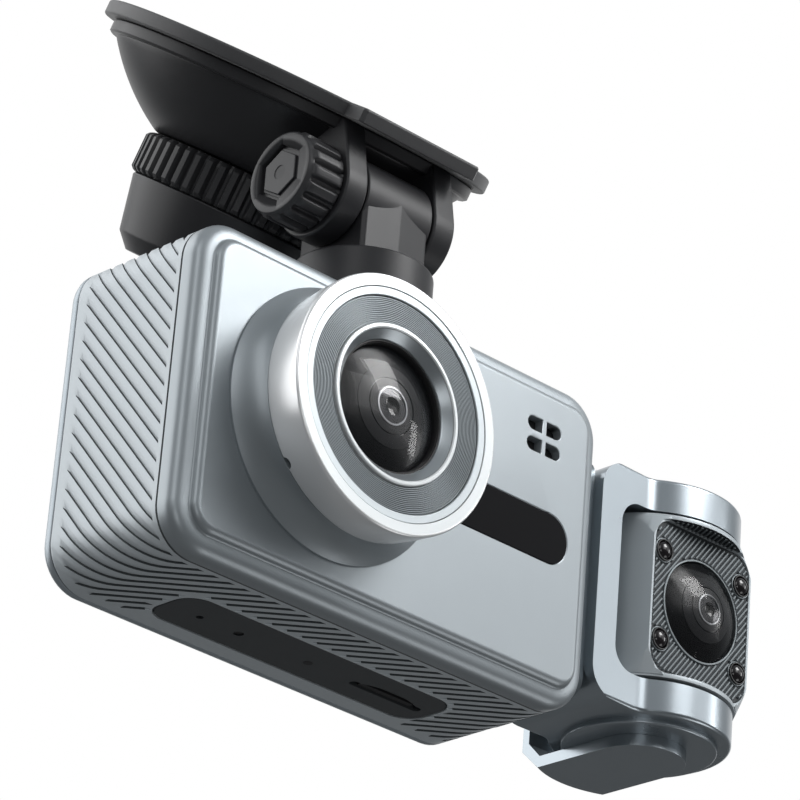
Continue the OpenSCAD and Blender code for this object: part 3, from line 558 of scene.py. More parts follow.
def build_band():
    """Band with slanted grooves. Each one sinks slowly and ends in a sharp wall, darkened with painted shade.
    """
    total = band_length()
    count = round(total / GROOVE_PITCH)
    pitch = total / count
    cross = [(-1.1, 0.0), (0.06, 1.0), (0.13, 1.0), (0.2, 0.0), (0.8, 0.0), (1.4, 0.0)]
    rows = [BAND_0 + 0.02, BAND_0 + 0.25]
    y = BAND_0 + 0.75
    ends = [GROOVE_NEAR - 0.03, GROOVE_NEAR + 0.25, 12.75, 13.0, 26.2, GROOVE_FAR + 0.05]
    while y < BAND_1 - 0.5:
        if all(abs(y - e) > 0.2 for e in ends):
            rows.append(y)
        y += 0.8
    rows += ends + [BAND_1 - 0.25, BAND_1 - 0.02]
    rows.sort()
    first = 1.32 - 22.3

    def loop_at(y, depth):
        loop = []
        for k in range(count):
            for u, deep in cross:
                (x, z), q = band_place(first + k * pitch + u + (BAND_1 - y) * GROOVE_SLANT)
                d = depth(x, z, y, deep)
                loop.append((x - q[0] * d, y, z - q[1] * d))
        return loop

    def outer_depth(x, z, y, deep):
        if y in (rows[0], rows[-1]):
            return SEAM_DEEP
        return 0.0 if groove_fades(x, z, y) else deep * GROOVE_DEEP

    def inner_depth(x, z, y, deep):
        return WALL

    outer = [loop_at(y, outer_depth) for y in rows]
    inner = [loop_at(y, inner_depth) for y in (rows[-1], rows[0])]
    verts, faces = loft(outer + inner, closed=True)
    obj = piece("case_band", verts, faces, AT_CASE, "camera", MAT["band"], "band_silver", ["side_band"], 12)
    # Groove walls get the darker groove_shade as painted shade; the two seam rows get it as dark joints.
    obj.data.materials.append(MAT["groove"])
    back = AT_CASE.inverted()
    for face in obj.data.polygons:
        spot = back @ face.center
        row = face.index // (count * len(cross))
        wall = face.index % len(cross) in (1, 2) and not groove_fades(spot.x, spot.z, spot.y)
        if row < len(rows) - 1 and (wall or row in (0, len(rows) - 2)):
            face.material_index = 1


def build_bezel():
    """Back bezel, rounded to the rear, with a step that the screen's cover sits in."""
    edge, step = 3.0, 1.0
    profile = [(0.12, BAND_1 + 0.02), (0.0, BAND_1 + 0.2), (0.0, CASE_D - 1.6)]
    profile += [(1.6 - 1.6 * math.cos(math.radians(a)), CASE_D - 1.6 + 1.6 * math.sin(math.radians(a)))
                for a in range(15, 91, 15)]
    profile += [(edge - 0.15, CASE_D), (edge, CASE_D - 0.15), (edge, CASE_D - step),
                (edge + 2, CASE_D - step),
                (edge + 2, BAND_1 + 0.02)]
    verts, faces = loft([case_loop(i, y) for i, y in profile], closed=True)
    piece("case_bezel", verts, faces, AT_CASE, "camera", MAT["bezel"], "bezel_grey", ["rear_bezel"], 50)
    outline = [(x, -z) for x, z in rounded_loop(CASE_W, CASE_H, CASE_R, edge + 0.06, 10)]
    verts, faces = prism(outline, CASE_D - step, CASE_D - 0.02, 0, 0.25)
    piece("screen_cover", verts, faces, AT_CASE @ Y_UP, "camera", MAT["cover"], "screen_glass",
          ["screen_glass"])


AT_BOTTOM = AT_CASE @ shift(z=-CASE_H / 2)
AT_TOP = AT_CASE @ shift(z=CASE_H / 2)
HOLE_Y = 19.7
CARD_X, CARD_Y = 18.2, 19.95


def circle(x, y, r, steps=24):
    return arc(x, y, r, 0, 360 - 360 / steps, steps - 1)


def build_panel():
    """Bottom panel with its three holes, the card slot and the curved finger notch."""
    px, py, w, d, r = PANEL
    outline = [(x + px, y + py) for x, y in rounded_loop(w, d, r, 0.24)]
    verts, faces = prism(outline, 0.03, 1.0, 0.18, 0)
    obj = piece("port_plate", verts, faces, AT_BOTTOM, "camera", MAT["panel"], "panel_dark", ["port_panel"])
    notch_r, notch_d, half = 13.7, 2.1, 7.3
    reach = math.degrees(math.asin(half / notch_r))
    lowest = CARD_Y - notch_d + notch_r
    curve = arc(CARD_X, lowest, notch_r, 270 - reach, 270 + reach, 16)
    crescent = curve + [(CARD_X + half, CARD_Y + 0.1), (CARD_X - half, CARD_Y + 0.1)]
    slot = [(x + CARD_X, y + CARD_Y) for x, y in rounded_loop(2 * half, 1.6, 0.7)]
    cutters = [prism(circle(-20.2, HOLE_Y, 0.6), -1, 2), prism(circle(-12.4, HOLE_Y, 0.82), -1, 2),
               prism(circle(1.75, HOLE_Y, 0.76), -1, 2), prism(crescent, -1, 0.55), prism(slot, -1, 2)]
    carve(obj, cutters, AT_BOTTOM)
    band = bpy.data.objects["case_band"]
    hole = [(x + px, y + py) for x, y in rounded_loop(w, d, r, -0.02)]
    carve(band, [prism(hole, -1, 2.5)], AT_BOTTOM, sharp=12)


def build_roof():
    """Power key and the mouths of the key and the power inlet."""
    key_x, key_y, key_w, key_d = -27, 16.9, 9.0, 3.4
    band = bpy.data.objects["case_band"]
    mouth = [(x + key_x, y + key_y) for x, y in rounded_loop(key_w + 0.3, key_d + 0.3, key_d / 2)]
    low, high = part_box("usb_port")
    socket = ((low + high) / 2 - Vector((0, case_front, 0))) / MM
    inlet = [(x + socket.x, y + socket.y) for x, y in rounded_loop(9.0, 3.3, 1.64)]
    carve(band, [prism(mouth, -3, 1), prism(inlet, -3, 1)], AT_TOP, sharp=12)
    outline = [(x + key_x, y + key_y) for x, y in rounded_loop(key_w, key_d, key_d / 2 - 0.01, 0, 12)]
    verts, faces = prism(outline, -2.2, 0.8, 0, 0.5, 5)
    piece("power_key", verts, faces, AT_TOP, "power_key", MAT["panel"], "panel_dark", ["power_button"])


# ---------------------------------------------------------------- front lens

SEAT = -11.3


def lens_piece(name, profile, material, slot, stands_for=(), steps=144, sharp=35, body="camera", place=None,
               closed=True):
    verts, faces = lathe(profile, steps, closed)
    return piece(name, verts, faces, (place or AT_LENS) @ Y_UP, body, MAT[material], slot, stands_for, sharp)


def build_rings():
    """Flared foot, bright band, white ring, rim, grooved ring, silver ring with its cone, and the hood."""
    foot = [(15.8, 1.8), (17.3, 1.8), (17.3, 0.0), (21.4, 0.0)]
    foot += [(19.25 + 2.15 * (1 - i / 14) ** 2.2, -0.45 - 5.5 * i / 14) for i in range(15)]
    foot += [(19.1, -6.05), (17.3, -6.05), (17.3, SEAT), (15.8, SEAT)]
    lens_piece("lens_foot", foot, "silver", "case_silver", ["lens_base"])
    band = [(17.32, -6.15), (19.3, -6.15), (19.42, -6.28), (19.5, -7.0), (19.85, -9.5), (20.0, -11.4),
            (20.1, -12.5)]
    band += arc(19.7, -12.8, 0.4, 0, -90, 5) + [(18.25, -13.2), (18.12, -13.1), (18.1, SEAT), (17.32, SEAT)]
    # The chrome band is coloured near-white: painted reflection.
    ring = lens_piece("chrome_band", band, "bright", "bright_ring", ["chrome_ring"])
    carve(ring, [prism(circle(0, 0, 0.95), 15, 22)], AT_LENS @ turn("Y", -132) @ shift(0, -6.2, 0))
    face = [(18.15, -13.21), (19.68, -13.21), (19.68, -13.15), (18.15, -13.15)]
    lens_piece("white_ring", face, "white_ring", "bright_ring")
    rim = [(16.75, -12.95), (16.85, -13.08), (17.95, -13.08), (18.02, -13.0), (18.02, SEAT), (16.75, SEAT)]
    lens_piece("rim", rim, "pale", "rim_silver", ["rim_ring"])
    count, first, last = 14, 12.62, 16.62
    groove = []
    for i in range(count):
        r = first + (last - first) * i / count
        p = (last - first) / count
        groove += [(r, -12.62), (r + 0.12 * p, -12.8), (r + 0.62 * p, -12.8), (r + 0.82 * p, -12.62)]
    groove += [(16.64, -12.62), (16.64, SEAT), (12.52, SEAT), (12.52, -12.62)]
    lens_piece("grooved_face", groove, "turned", "groove_grey", ["grooved_ring"], 160)
    # One silver bevel in two tones: the lip in near-white white_metal is a painted highlight, the cone in
    # darker cone_grey is painted shade down into the funnel.
    inner = [(12.45, SEAT), (12.45, -13.0)] + arc(12.2, -13.0, 0.25, 0, -90, 4)
    inner += [(11.85, -13.25), (11.65, -13.1), (11.6, SEAT)]
    lens_piece("inner_bezel", inner, "white_ring", "rim_silver", ["inner_ring"])
    cone = [(11.6, -12.95), (10.4, -11.9), (10.25, -11.6), (10.2, SEAT), (11.58, SEAT)]
    lens_piece("inner_cone", cone, "cone", "rim_silver")
    hood = [(10.22, SEAT + 5), (10.22, SEAT - 0.25), (10.05, SEAT - 0.25), (9.75, -10.9), (9.72, SEAT + 5)]
    lens_piece("hood", hood, "matt_black", "lens_black", ["lens_hood"])


def dome(r, edge_r, edge, rise):
    return edge - rise * (1 - (r / edge_r) ** 2)


RINGS = (
    ("pupil", 0.0, 1.2, 0.5, "gloss_black"),
    ("pupil_wall", 1.2, 2.3, 0.1, "dark_mirror"),
    ("pupil_line", 2.3, 2.52, -0.06, "steel"),
    ("ring_a", 2.52, 3.6, 0.05, "lens_grey"),
    ("ring_b", 3.6, 3.8, 0.22, "gloss_black"),
    ("ring_c", 3.8, 5.4, 0.0, "lens_mid"),
    ("ring_d", 5.4, 8.1, 0.12, "lens_dark"),
)


def build_optics(tag, place, body, edge, rise, scale, glass_node, stands_for):
    """Stepped rings under a clear dome."""
    edge_r = 8.1 * scale
    for k, (name, r0, r1, drop, material) in enumerate(RINGS):
        r0, r1 = r0 * scale, r1 * scale
        steps = 6
        top = [(r0 + (r1 - r0) * i / steps, dome(r0 + (r1 - r0) * i / steps, edge_r, edge, rise) + drop)
               for i in range(steps + 1)]
        if name == "pupil":
            top = [(r, y + 0.35 * (1 - (r / r1) ** 2)) for r, y in top]
        back = [(r1, top[-1][1] + 0.9), (r0, top[0][1] + 0.9)]
        lens_piece(f"{tag}_{name}", top + back, material, "lens_black", stands_for if k == 0 else (), 96, 35,
                   body,
                   place)
    glass_r = edge_r + 0.12
    lift = 0.75
    outside = [(glass_r * i / 14, dome(glass_r * i / 14, glass_r, edge - 0.15, rise + lift))
               for i in range(15)]
    inside = [(glass_r * i / 14, dome(glass_r * i / 14, glass_r, edge + 0.15, rise + lift - 0.15))
              for i in range(14, -1, -1)]
    lens_piece(f"{tag}_dome", outside + inside, "glass", "lens_glass", [glass_node], 96, 35, body, place)


# ---------------------------------------------------------------- suction mount

CUP_R = 34.0
CUP_T = 2.4
RIM_R = CUP_R - 2
TAB_REACH = 2.4
DOME_R, DOME_UP, DOME_END = 37.5, 16.7, -16.1
CUP_OUT, DROP = 31.5, 14.7
EAR_IN, EAR_OUT, EAR_R = 7.2, 11.6, 7.9
COLLAR_RIBS, THUMB_RIBS = 52, 16
SIDEWAYS = Matrix(((0, 0, 1, 0), (1, 0, 0, 0), (0, 1, 0, 0), (0, 0, 0, 1)))   # drawn (y, z), raised along x


def build_disc():
    tab = 12.5
    lead = math.degrees(math.asin(tab / CUP_R))
    edge = -CUP_R - TAB_REACH
    outline = arc(0, 0, CUP_R, -90 + lead, 270 - lead, 150)
    outline += [(-tab, edge + 0.6), (-tab + 0.6, edge), (tab - 0.6, edge), (tab, edge + 0.6)]
    plate = prism(outline, -CUP_T, 0, 0.35, 0.45, 4)
    boss = lathe([(0, -5.4), (8, -5.4), (8, -2.2), (0, -2.2)], 48)
    verts, faces = join(plate, boss)
    piece("soft_disc", verts, faces, AT_CUP, "mount", MAT["rubber"], "soft_disc", ["suction_disc"])


def sphere_curve(r, z0, z1, steps=16):
    heights = [z0 + (z1 - z0) * i / steps for i in range(steps + 1)]
    return [(math.sqrt(r * r - (DOME_UP - z) ** 2), z) for z in heights]


def build_cup():
    """Domed cover with a flat rim, and two flared ears at its front."""
    outer = [(3.2, DOME_END)] + [(17.9, DOME_END)] + sphere_curve(DOME_R, DOME_END + 0.25, -5.1)
    outer += [(RIM_R - 1.4, -4.75), (RIM_R - 0.4, -4.7), (RIM_R, -4.4), (RIM_R, -2.75), (RIM_R - 0.2, -2.5),
              (RIM_R - 2.5, -2.5)]
    inner = sphere_curve(DOME_R - 2, -4.5, DOME_END + 2.2)
    verts, faces = lathe(outer + inner + [(3.2, DOME_END + 2)], 144)
    piece("cup_dome", verts, faces, AT_CUP, "mount", MAT["black"], "mount_black", ["cup_housing"], 30)
    ears = AT_CUP @ shift(0, -CUP_OUT, -DROP)
    top = DROP - CUP_T - 0.1
    a = math.atan2(top, 0.5) + math.acos(EAR_R / math.hypot(0.5, top))
    b = math.atan2(-1, 14) - math.acos(EAR_R / math.hypot(14, 1))
    outline = arc(0, 0, EAR_R, math.degrees(a), 360 + math.degrees(b), 40) + [(14, -1), (14, top), (0.5, top)]
    for name, x0 in (("ear_near", -EAR_OUT), ("ear_far", EAR_IN)):
        verts, faces = prism(outline, x0, x0 + EAR_OUT - EAR_IN, 0.45, 0.45)
        obj = piece(name, verts, faces, ears @ SIDEWAYS, "mount", MAT["black"],
                    "mount_black")
        cuts = [prism(circle(0, 0, 2.1), -20, 20)]
        if name == "ear_far":
            cuts.append(prism(circle(0, 0, 4.1, 6), EAR_OUT - 2.4, 20))
        carve(obj, cuts, ears @ SIDEWAYS)
    block = prism(rounded_loop(2 * EAR_OUT - 0.6, 10.6, 0.6), 0, DROP - CUP_T + 0.9)
    obj = piece("ear_bridge", *moved(block, shift(0, 8.6, -0.9)), ears, "mount",
                MAT["black"], "mount_black")
    carve(obj, [prism(circle(0, 0, EAR_R + 0.2, 64), -EAR_IN, EAR_IN)], ears @ SIDEWAYS)


def ribbed(count, deep, low, high, soft=0.5, duty=0.62):
    """Radius change for ribs between two heights: full in the middle of a rib, deep between ribs."""
    def shape(r, h, a):
        if r < 1 or h < low or h > high:
            return r
        fade = min(1, (h - low) / soft, (high - h) / soft)
        t = abs(((a * count / (2 * math.pi)) % 1) - 0.5) * 2
        k = min(1, max(0, (t - duty) / (1 - duty) * 1.6))
        return r - deep * fade * (k * k * (3 - 2 * k))
    return shape


def build_knob():
    """Ribbed locking collar and the smooth cap under it."""
    top, r = DOME_END - 0.2, 19.5
    low = top - 7.1
    profile = [(5.6, top), (r - 1.3, top)] + [(r - 0.9, top - 0.1), (r - 0.4, top - 0.35), (r, top - 0.8)]
    profile += [(r, top - 0.8 - 5.5 * i / 6) for i in range(1, 7)]
    profile += [(r - 0.4, low + 0.35), (r - 0.9, low + 0.1), (r - 1.3, low), (5.6, low)]
    verts, faces = lathe(profile, COLLAR_RIBS * 10, True,
                         ribbed(COLLAR_RIBS, 0.9, low - 0.1, top + 0.1, 0.5, 0.45))
    piece("ribbed_collar", verts, faces, AT_CUP, "lock_knob", MAT["knob"], "knob_black", ["lock_collar"], 40)
    c = low - 0.05
    corners = [(0, c, 0), (r - 0.75, c, 0.3), (r - 2.7, c - 9.4, 0.8), (r - 5.0, c - 11.9, 0.5),
               (6, c - 11.9, 0.4),
               (5.4, c - 11.2, 0.2), (0, c - 11.2, 0)]
    verts, faces = lathe(soften(corners), 120)
    piece("smooth_cap", verts, faces, AT_CUP, "lock_knob", MAT["black"], "mount_black", ["knob_cap"], 30)


def hexagon(r):
    return circle(0, 0, r, 6)


def build_thumb():
    """Thumb knob: toothed barrel, flat face with a hexagon cut in outline and a small dimple."""
    back, front = EAR_OUT + 0.1, EAR_OUT + 7.1
    profile = [(0, back), (6.9, back),
               (7.3, back + 0.4)] + [(7.3, back + 0.4 + 5.2 * i / 6) for i in range(1, 7)]
    profile += [(7.0, back + 6.05), (6.8, back + 6.15), (6.8, front - 0.2), (6.65, front - 0.03),
                (6.5, front), (0, front)]
    verts, faces = lathe(profile, THUMB_RIBS * 14, True,
                         ribbed(THUMB_RIBS, 0.95, back + 0.05, back + 6.1, 0.35, 0.5))
    place = AT_HINGE @ turn("Y", -90)
    obj = piece("thumb_wheel", verts, faces, place, "thumb_screw", MAT["knob"], "knob_black", ["thumb_knob"],
                40)
    outer, inner = hexagon(4.9), hexagon(3.9)
    groove = prism(outer, front - 0.7, front + 1)
    carve(obj, [groove], place, sharp=40)
    verts, faces = prism(inner, front - 1.2, front, 0, 0.15, 2)
    face = piece("thumb_hexagon", verts, faces, place, "thumb_screw", MAT["knob"], "knob_black")
    carve(face, [lathe([(0, front - 0.35), (1.2, front - 0.35), (1.3, front + 1), (0, front + 1)], 32)],
          place)


def build_neck():
    """Knuckle, faceted post and the round turret."""
    k, half, drop = EAR_R - 0.2, EAR_IN - 0.3, 10.5
    knuckle = lathe(soften([(0, -half, 0), (k, -half, 0.35), (k, half, 0.35), (0, half, 0)]), 96)
    verts, faces = moved(knuckle, turn("Y", 90))
    piece("knuckle", verts, faces, AT_HINGE, "neck", MAT["black"], "mount_black", ["neck"])
    front = [(-half, -k + 1.2), (-half + 0.6, -k + 0.6), (0.15, -k), (half - 0.6, -k + 0.6), (half, -k + 1.2)]
    outline = front + [(half, k - 0.6), (half - 0.6, k), (-half + 0.6, k), (-half, k - 0.6)]
    verts, faces = prism(outline, -drop + 0.02, 0)
    obj = piece("neck_post", verts, faces, AT_HINGE, "neck", MAT["black"], "mount_black", (), 5)
    bevel(obj, 0.14, 2, 5)
    height, r = 9.4, 11.2
    profile = soften([(5.1, 0, 0), (r, 0, 0.1), (r, height - 0.01, 0.45), (5.1, height - 0.01, 0)])
    verts, faces = lathe(profile, 120)
    piece("turret", verts, faces, AT_TOP @ shift(y=13), "camera", MAT["black"], "mount_black",
          ["turret_base"])


# ---------------------------------------------------------------- cabin camera

YOKE_R, YOKE_H, WEB_X, WEB_HALF, WEB_T = 14.7, 40.3, -21.8, 10.3, 4.7
WINDOW = 28.9
BOX_FACES = [(0, 1, 2, 3), (4, 5, 6, 7), (0, 1, 5, 4), (1, 2, 6, 5), (2, 3, 7, 6), (3, 0, 4, 7)]
DRUM_R, DRUM_H = 15.0, 27.9
FACE_W, FACE_H, FACE_OUT = 23.0, 26.5, 12.1
CORNER_R, CORNER_Z = 16.8, 9.5
STRAP_IN, STRAP_R, STRAP_T, STRAP_W = 17.3, 20.2, 1.9, 15.2


def yoke_outline():
    f = 4.0
    dx = math.sqrt((YOKE_R + f) ** 2 - (WEB_HALF + f) ** 2)
    lean = math.degrees(math.atan2(WEB_HALF + f, dx))
    lower = [(WEB_X, -WEB_HALF)] + arc(-dx, -WEB_HALF - f, f, 90, lean, 8)
    lug = arc(0, 0, YOKE_R, -180 + lean, 180 - lean, 72)[1:-1]
    upper = arc(-dx, WEB_HALF + f, f, -lean, -90, 8) + [(WEB_X, WEB_HALF)]
    return lower + lug + upper


def build_yoke():
    verts, faces = prism(yoke_outline(), -YOKE_H / 2, YOKE_H / 2, 0.7, 0.7, 4)
    obj = piece("yoke", verts, faces, AT_HEAD, "camera", MAT["arm"], "arm_silver", ["side_yoke"], 30)
    reach = 2 * (YOKE_R - WEB_X)
    frame_cut = [(x + WEB_X + reach / 2, z) for x, z in rounded_loop(reach, YOKE_H + 0.002, 5, 0, 14)]
    carve(obj, [upright(frame_cut, -20, 20)], AT_HEAD, "INTERSECT")
    span = 2 * (YOKE_R - WEB_X - WEB_T)
    window = [(x + WEB_X + WEB_T + span / 2, z) for x, z in rounded_loop(span, WINDOW, 4, 0, 14)]
    carve(obj, [upright(window, -20, 20)], AT_HEAD)
    bevel(obj, 0.45, 3, 50)


def build_discs():
    for name, side in (("disc_top", 1), ("disc_bottom", -1)):
        h = YOKE_H / 2
        profile = soften([(3.3, h, 0), (12.5, h, 0), (12.5, h + 0.89, 0.3), (3.3, h + 0.89, 0)])
        verts, faces = lathe([(r, side * z) for r, z in profile], 96)
        piece(name, verts, faces, AT_HEAD, "camera", MAT["arm"], "arm_silver", ["yoke_discs"])


def build_strap():
    """Strap with a tongue above, a rounded back and a tongue below."""
    in_z = YOKE_H / 2 + 0.9
    out_z, cut = in_z + STRAP_T, 3.4
    inner = cut - STRAP_T * 0.4
    corners = [(STRAP_R - cut, -out_z), (STRAP_R, -out_z + cut), (STRAP_R, out_z - cut),
               (STRAP_R - cut, out_z)]
    verts, faces = lathe([(0, -out_z)] + corners + [(0, out_z)], 180)
    obj = piece("strap", verts, faces, AT_HEAD, "camera", MAT["arm"], "arm_silver", ["strap_bracket"])
    half = STRAP_W / 2
    tongue = arc(0, 0, half, 180, 360, 32) + [(half, STRAP_R + 1), (-half, STRAP_R + 1)]
    carve(obj, [prism(tongue, -out_z - 1, out_z + 1)], AT_HEAD, "INTERSECT")
    back = [(-STRAP_W, -in_z), (STRAP_IN - inner, -in_z), (STRAP_IN, -in_z + inner)]
    space = back + [(y, -z) for y, z in reversed(back)]
    carve(obj, [prism(space, -STRAP_W, STRAP_W)], AT_HEAD @ SIDEWAYS)
    bevel(obj, 0.35, 3, 35)


def build_link():
    """Waisted link between the case's end and the yoke."""
    length, h0, h1, sag = 4.2, CASE_H / 2 - 2.8, YOKE_H / 2 + 0.2, 2.4
    width = 17.1
    loops = []
    steps = 12
    for i in range(steps + 1):
        t = i / steps
        h = h0 + (h1 - h0) * t - sag * math.sin(math.pi * t)
        loops.append([(t * length, y, z) for y, z in rounded_loop(width, 2 * h, 3.0, 0, 8)])
    verts, faces = loft(loops)
    place = AT_CASE @ shift(CASE_W / 2, 14.55, 0)
    # The link wears the darker copy of the arm's silver: painted shade in the saddle between case and yoke.
    piece("link", verts, faces, place, "camera", MAT["arm_dark"], "arm_silver", ["side_link"])


def build_head():
    """Round-ended head with a sunk front, its ribbed faceplate and four lamps in gloss bezels."""
    h, lip = DRUM_H / 2, 0.7
    verts, faces = lathe([(0, -h), (DRUM_R, -h), (DRUM_R, h), (0, h)], 144)
    head = piece("head_body", verts, faces, AT_HEAD, "head", MAT["head"], "head_grey",
                 ["head_shell", "head_cover"])
    far = math.hypot(FACE_W / 2, FACE_OUT)
    lean = math.atan2(FACE_OUT, FACE_W / 2) - math.acos(DRUM_R / far)
    flank = (DRUM_R * math.cos(lean), -DRUM_R * math.sin(lean))
    over = 0.5 * (flank[0] - FACE_W / 2) / (FACE_OUT + flank[1])
    front = [(FACE_W / 2 - over, -FACE_OUT - 0.5), flank, (flank[0] - 3, 0)]
    outline = [(-x, y) for x, y in front] + front[::-1]
    corner = piece("head_corner", *prism(outline, -h + lip / 2, h - lip / 2), AT_HEAD, None, MAT["head"],
                   None)
    end_r = DRUM_R - 0.4
    side = soften([(0, -h - 1, 0), (end_r, -h - 1, 0), (CORNER_R, -CORNER_Z, 6), (CORNER_R, CORNER_Z, 6),
                   (end_r, h + 1, 0), (0, h + 1, 0)], 8)
    barrel = lathe(side, 144)
    carve(corner, [barrel], AT_HEAD, "INTERSECT")
    drawn = [tuple(AT_HEAD.inverted() @ v.co) for v in corner.data.vertices]
    shape = drawn, [tuple(f.vertices) for f in corner.data.polygons]
    bpy.data.objects.remove(corner)
    carve(head, [shape], AT_HEAD, "UNION")
    carve(head, [upright(rounded_loop(FACE_W + 0.4, FACE_H, 4, 0, 14), -2 * DRUM_R, -FACE_OUT),
                 upright(rounded_loop(PLATE_W + 0.1, PLATE_H + 0.1, PLATE_R, 0, 14), -DRUM_R,
                         -FACE_OUT + 1.3),
                 upright(circle(0, 0, GLASS_R + 0.05, 72), -DRUM_R, -FACE_OUT + 3)], AT_HEAD)
    bevel(head, 0.28, 3, 32)
    # The lips' undersides take the darker face_grey between their ribs: painted shade.
    head.data.materials.append(MAT["face"])
    back = AT_HEAD.inverted()
    for face in head.data.polygons:
        spot = back @ face.center
        if abs(abs(spot.z) - FACE_H / 2) < 0.03 and abs(face.normal.z) > 0.9 and spot.y < -FACE_OUT:
            face.material_index = 1
    build_faceplate()
    build_lip_ribs()
    for i, (x, z) in enumerate(lamp_places()):
        build_lamp(i, AT_HEAD @ shift(x, 0, z))


def build_lip_ribs():
    """The plate's ribs run on along the undersides of the two lips."""
    way = Vector((-0.38, -0.925))
    side = Vector((way.y, -way.x)) * 0.14
    spacing = RIB_PITCH / math.sin(math.radians(RIB_TURN))
    parts = []
    for end in (-1, 1):
        for k in range(-9, 10):
            start = Vector((k * spacing, -FACE_OUT + 0.1))
            if abs(start.x) > FACE_W / 2 - 4:
                continue
            reach = 0.0
            while (start + way * (reach + 0.1)).length < DRUM_R - 0.4 and reach < 4:
                reach += 0.1
            if reach < 0.5:
                continue
            tip = start + way * reach
            foot = [start - side, start + side, tip + side, tip - side]
            verts = [(p.x, p.y, end * (FACE_H / 2 + 0.05 - drop)) for drop in (0, 0.3) for p in foot]
            parts.append((verts, BOX_FACES))
    piece("lip_ribs", *join(*parts), AT_HEAD, "head", MAT["face_rib"], "face_grey", (), 20)


def build_lamp(i, place):
    front = -FACE_OUT
    bezel = [(1.5, front + 1.3), (1.85, front + 1.3), (1.85, front - 0.2), (1.78, front - 0.3),
             (1.66, front - 0.3),
             (1.58, front - 0.15), (1.56, front + 0.3)]
    lens_piece(f"lamp_bezel_{i}", bezel, "gloss_black", "lamp_dark", (), 48, 35, "head", place)
    bulb = [(0, front - 0.85)]
    bulb += [(1.53 * math.sin(math.radians(a)), front + 0.2 - 1.05 * math.cos(math.radians(a)))
             for a in range(10, 91, 10)]
    bulb += [(1.5, front + 1.2), (0, front + 1.2)]
    lens_piece(f"lamp_{i}", bulb, "lamp", "lamp_dark", ["infrared_lamps"], 48, 35, "head", place)


def lamp_places():
    return [(x * (FACE_W / 2 - 2.45), z * 7.6) for x in (-1, 1) for z in (-1, 1)]


GLASS_R = 8.35
PLATE_W, PLATE_H, PLATE_R = 22.1, 26.0, 3.65
RIB_PITCH, RIB_TURN, RIB_DEEP = 0.74, 52, 0.35


def face_open(x, z):
    """Whether a spot on the faceplate carries ribs."""
    w, h = PLATE_W / 2 - 0.12, PLATE_H / 2 - 0.55
    r = PLATE_R - 0.1
    dx, dz = max(abs(x) - (w - r), 0), max(abs(z) - (h - r), 0)
    if math.hypot(dx, dz) > r or math.hypot(x, z) < GLASS_R + 0.5:
        return False
    return all(math.hypot(x - lx, z - lz) > 2.2 for lx, lz in lamp_places())


def build_faceplate():
    """Plate with slanted ribs, open round the glass and the lamps, and a smooth ring round the glass."""
    outline = [(x, -z) for x, z in rounded_loop(PLATE_W, PLATE_H, PLATE_R, 0, 12)]
    verts, faces = prism(outline, -FACE_OUT + RIB_DEEP, -FACE_OUT + 1.4)
    plate = piece("faceplate", verts, faces, AT_HEAD @ Y_UP, "head", MAT["face"], "face_grey",
                  ["head_faceplate"])
    holes = [upright(circle(0, 0, GLASS_R, 72), -20, -5)]
    holes += [upright(circle(x, z, 1.86, 32), -20, -5) for x, z in lamp_places()]
    carve(plate, holes, AT_HEAD)
    low = -FACE_OUT + RIB_DEEP + 0.1
    collar = [(GLASS_R, low), (GLASS_R + 0.02, -FACE_OUT - 0.05), (GLASS_R + 0.28, -FACE_OUT - 0.02),
              (GLASS_R + 0.42, low)]
    lens_piece("face_collar", collar, "face_rib", "face_grey", (), 96, 35, "head", AT_HEAD)
    for i, (x, z) in enumerate(lamp_places()):
        seat = [(1.86, low), (1.88, -FACE_OUT - 0.02), (2.02, -FACE_OUT), (2.12, low)]
        lens_piece(f"lamp_seat_{i}", seat, "face_rib", "face_grey", (), 48, 35, "head",
                   AT_HEAD @ shift(x, 0, z))
    way = Vector((math.cos(math.radians(RIB_TURN)), math.sin(math.radians(RIB_TURN))))
    side = Vector((-way.y, way.x))
    reach, step = 18.0, 0.1
    parts = []
    for k in range(-30, 31):
        base = side * (k * RIB_PITCH)
        start = None
        for i in range(int(2 * reach / step) + 1):
            t = -reach + i * step
            p = base + way * t
            inside = face_open(p.x, p.y)
            if inside and start is None:
                start = t
            if start is not None and not inside:
                if t - start > 0.4:
                    parts.append(rib(base, way, side, start, t - step))
                start = None
    verts, faces = join(*parts)
    # Ribs in the lighter face_rib over the darker plate floor: painted highlight on the ribs, painted shade
    # between them.
    piece("face_ribs", verts, faces, AT_HEAD, "head", MAT["face_rib"], "face_grey", (), 20)


def rib(base, way, side, t0, t1):
    """One raised rib with sloping ends."""
    y0, y1, w0, w1, slope = -FACE_OUT + RIB_DEEP + 0.02, -FACE_OUT, 0.24, 0.12, 0.1
    verts = []
    for y, w, cut in ((y0, w0, 0.0), (y1, w1, slope)):
        for t, s in ((t0 + cut, -w), (t1 - cut, -w), (t1 - cut, w), (t0 + cut, w)):
            p = base + way * t + side * s
            verts.append((p.x, y, p.y))
    return verts, BOX_FACES


# ---------------------------------------------------------------- build, and dress what stays from the solids

build_front()
build_plate()
build_band()
build_bezel()
build_panel()
build_roof()
build_rings()
build_optics("front", AT_LENS, "camera", -10.6, 1.6, 1.19, "front_glass", ["inner_lens", "lens_barrel"])
build_disc()
build_cup()
build_knob()
build_thumb()
build_neck()
build_yoke()
build_discs()
build_strap()
build_link()
build_head()
build_optics("side", AT_HEAD, "head", -FACE_OUT + 0.2, 2.3, 1.0, "side_glass", ["side_barrel"])

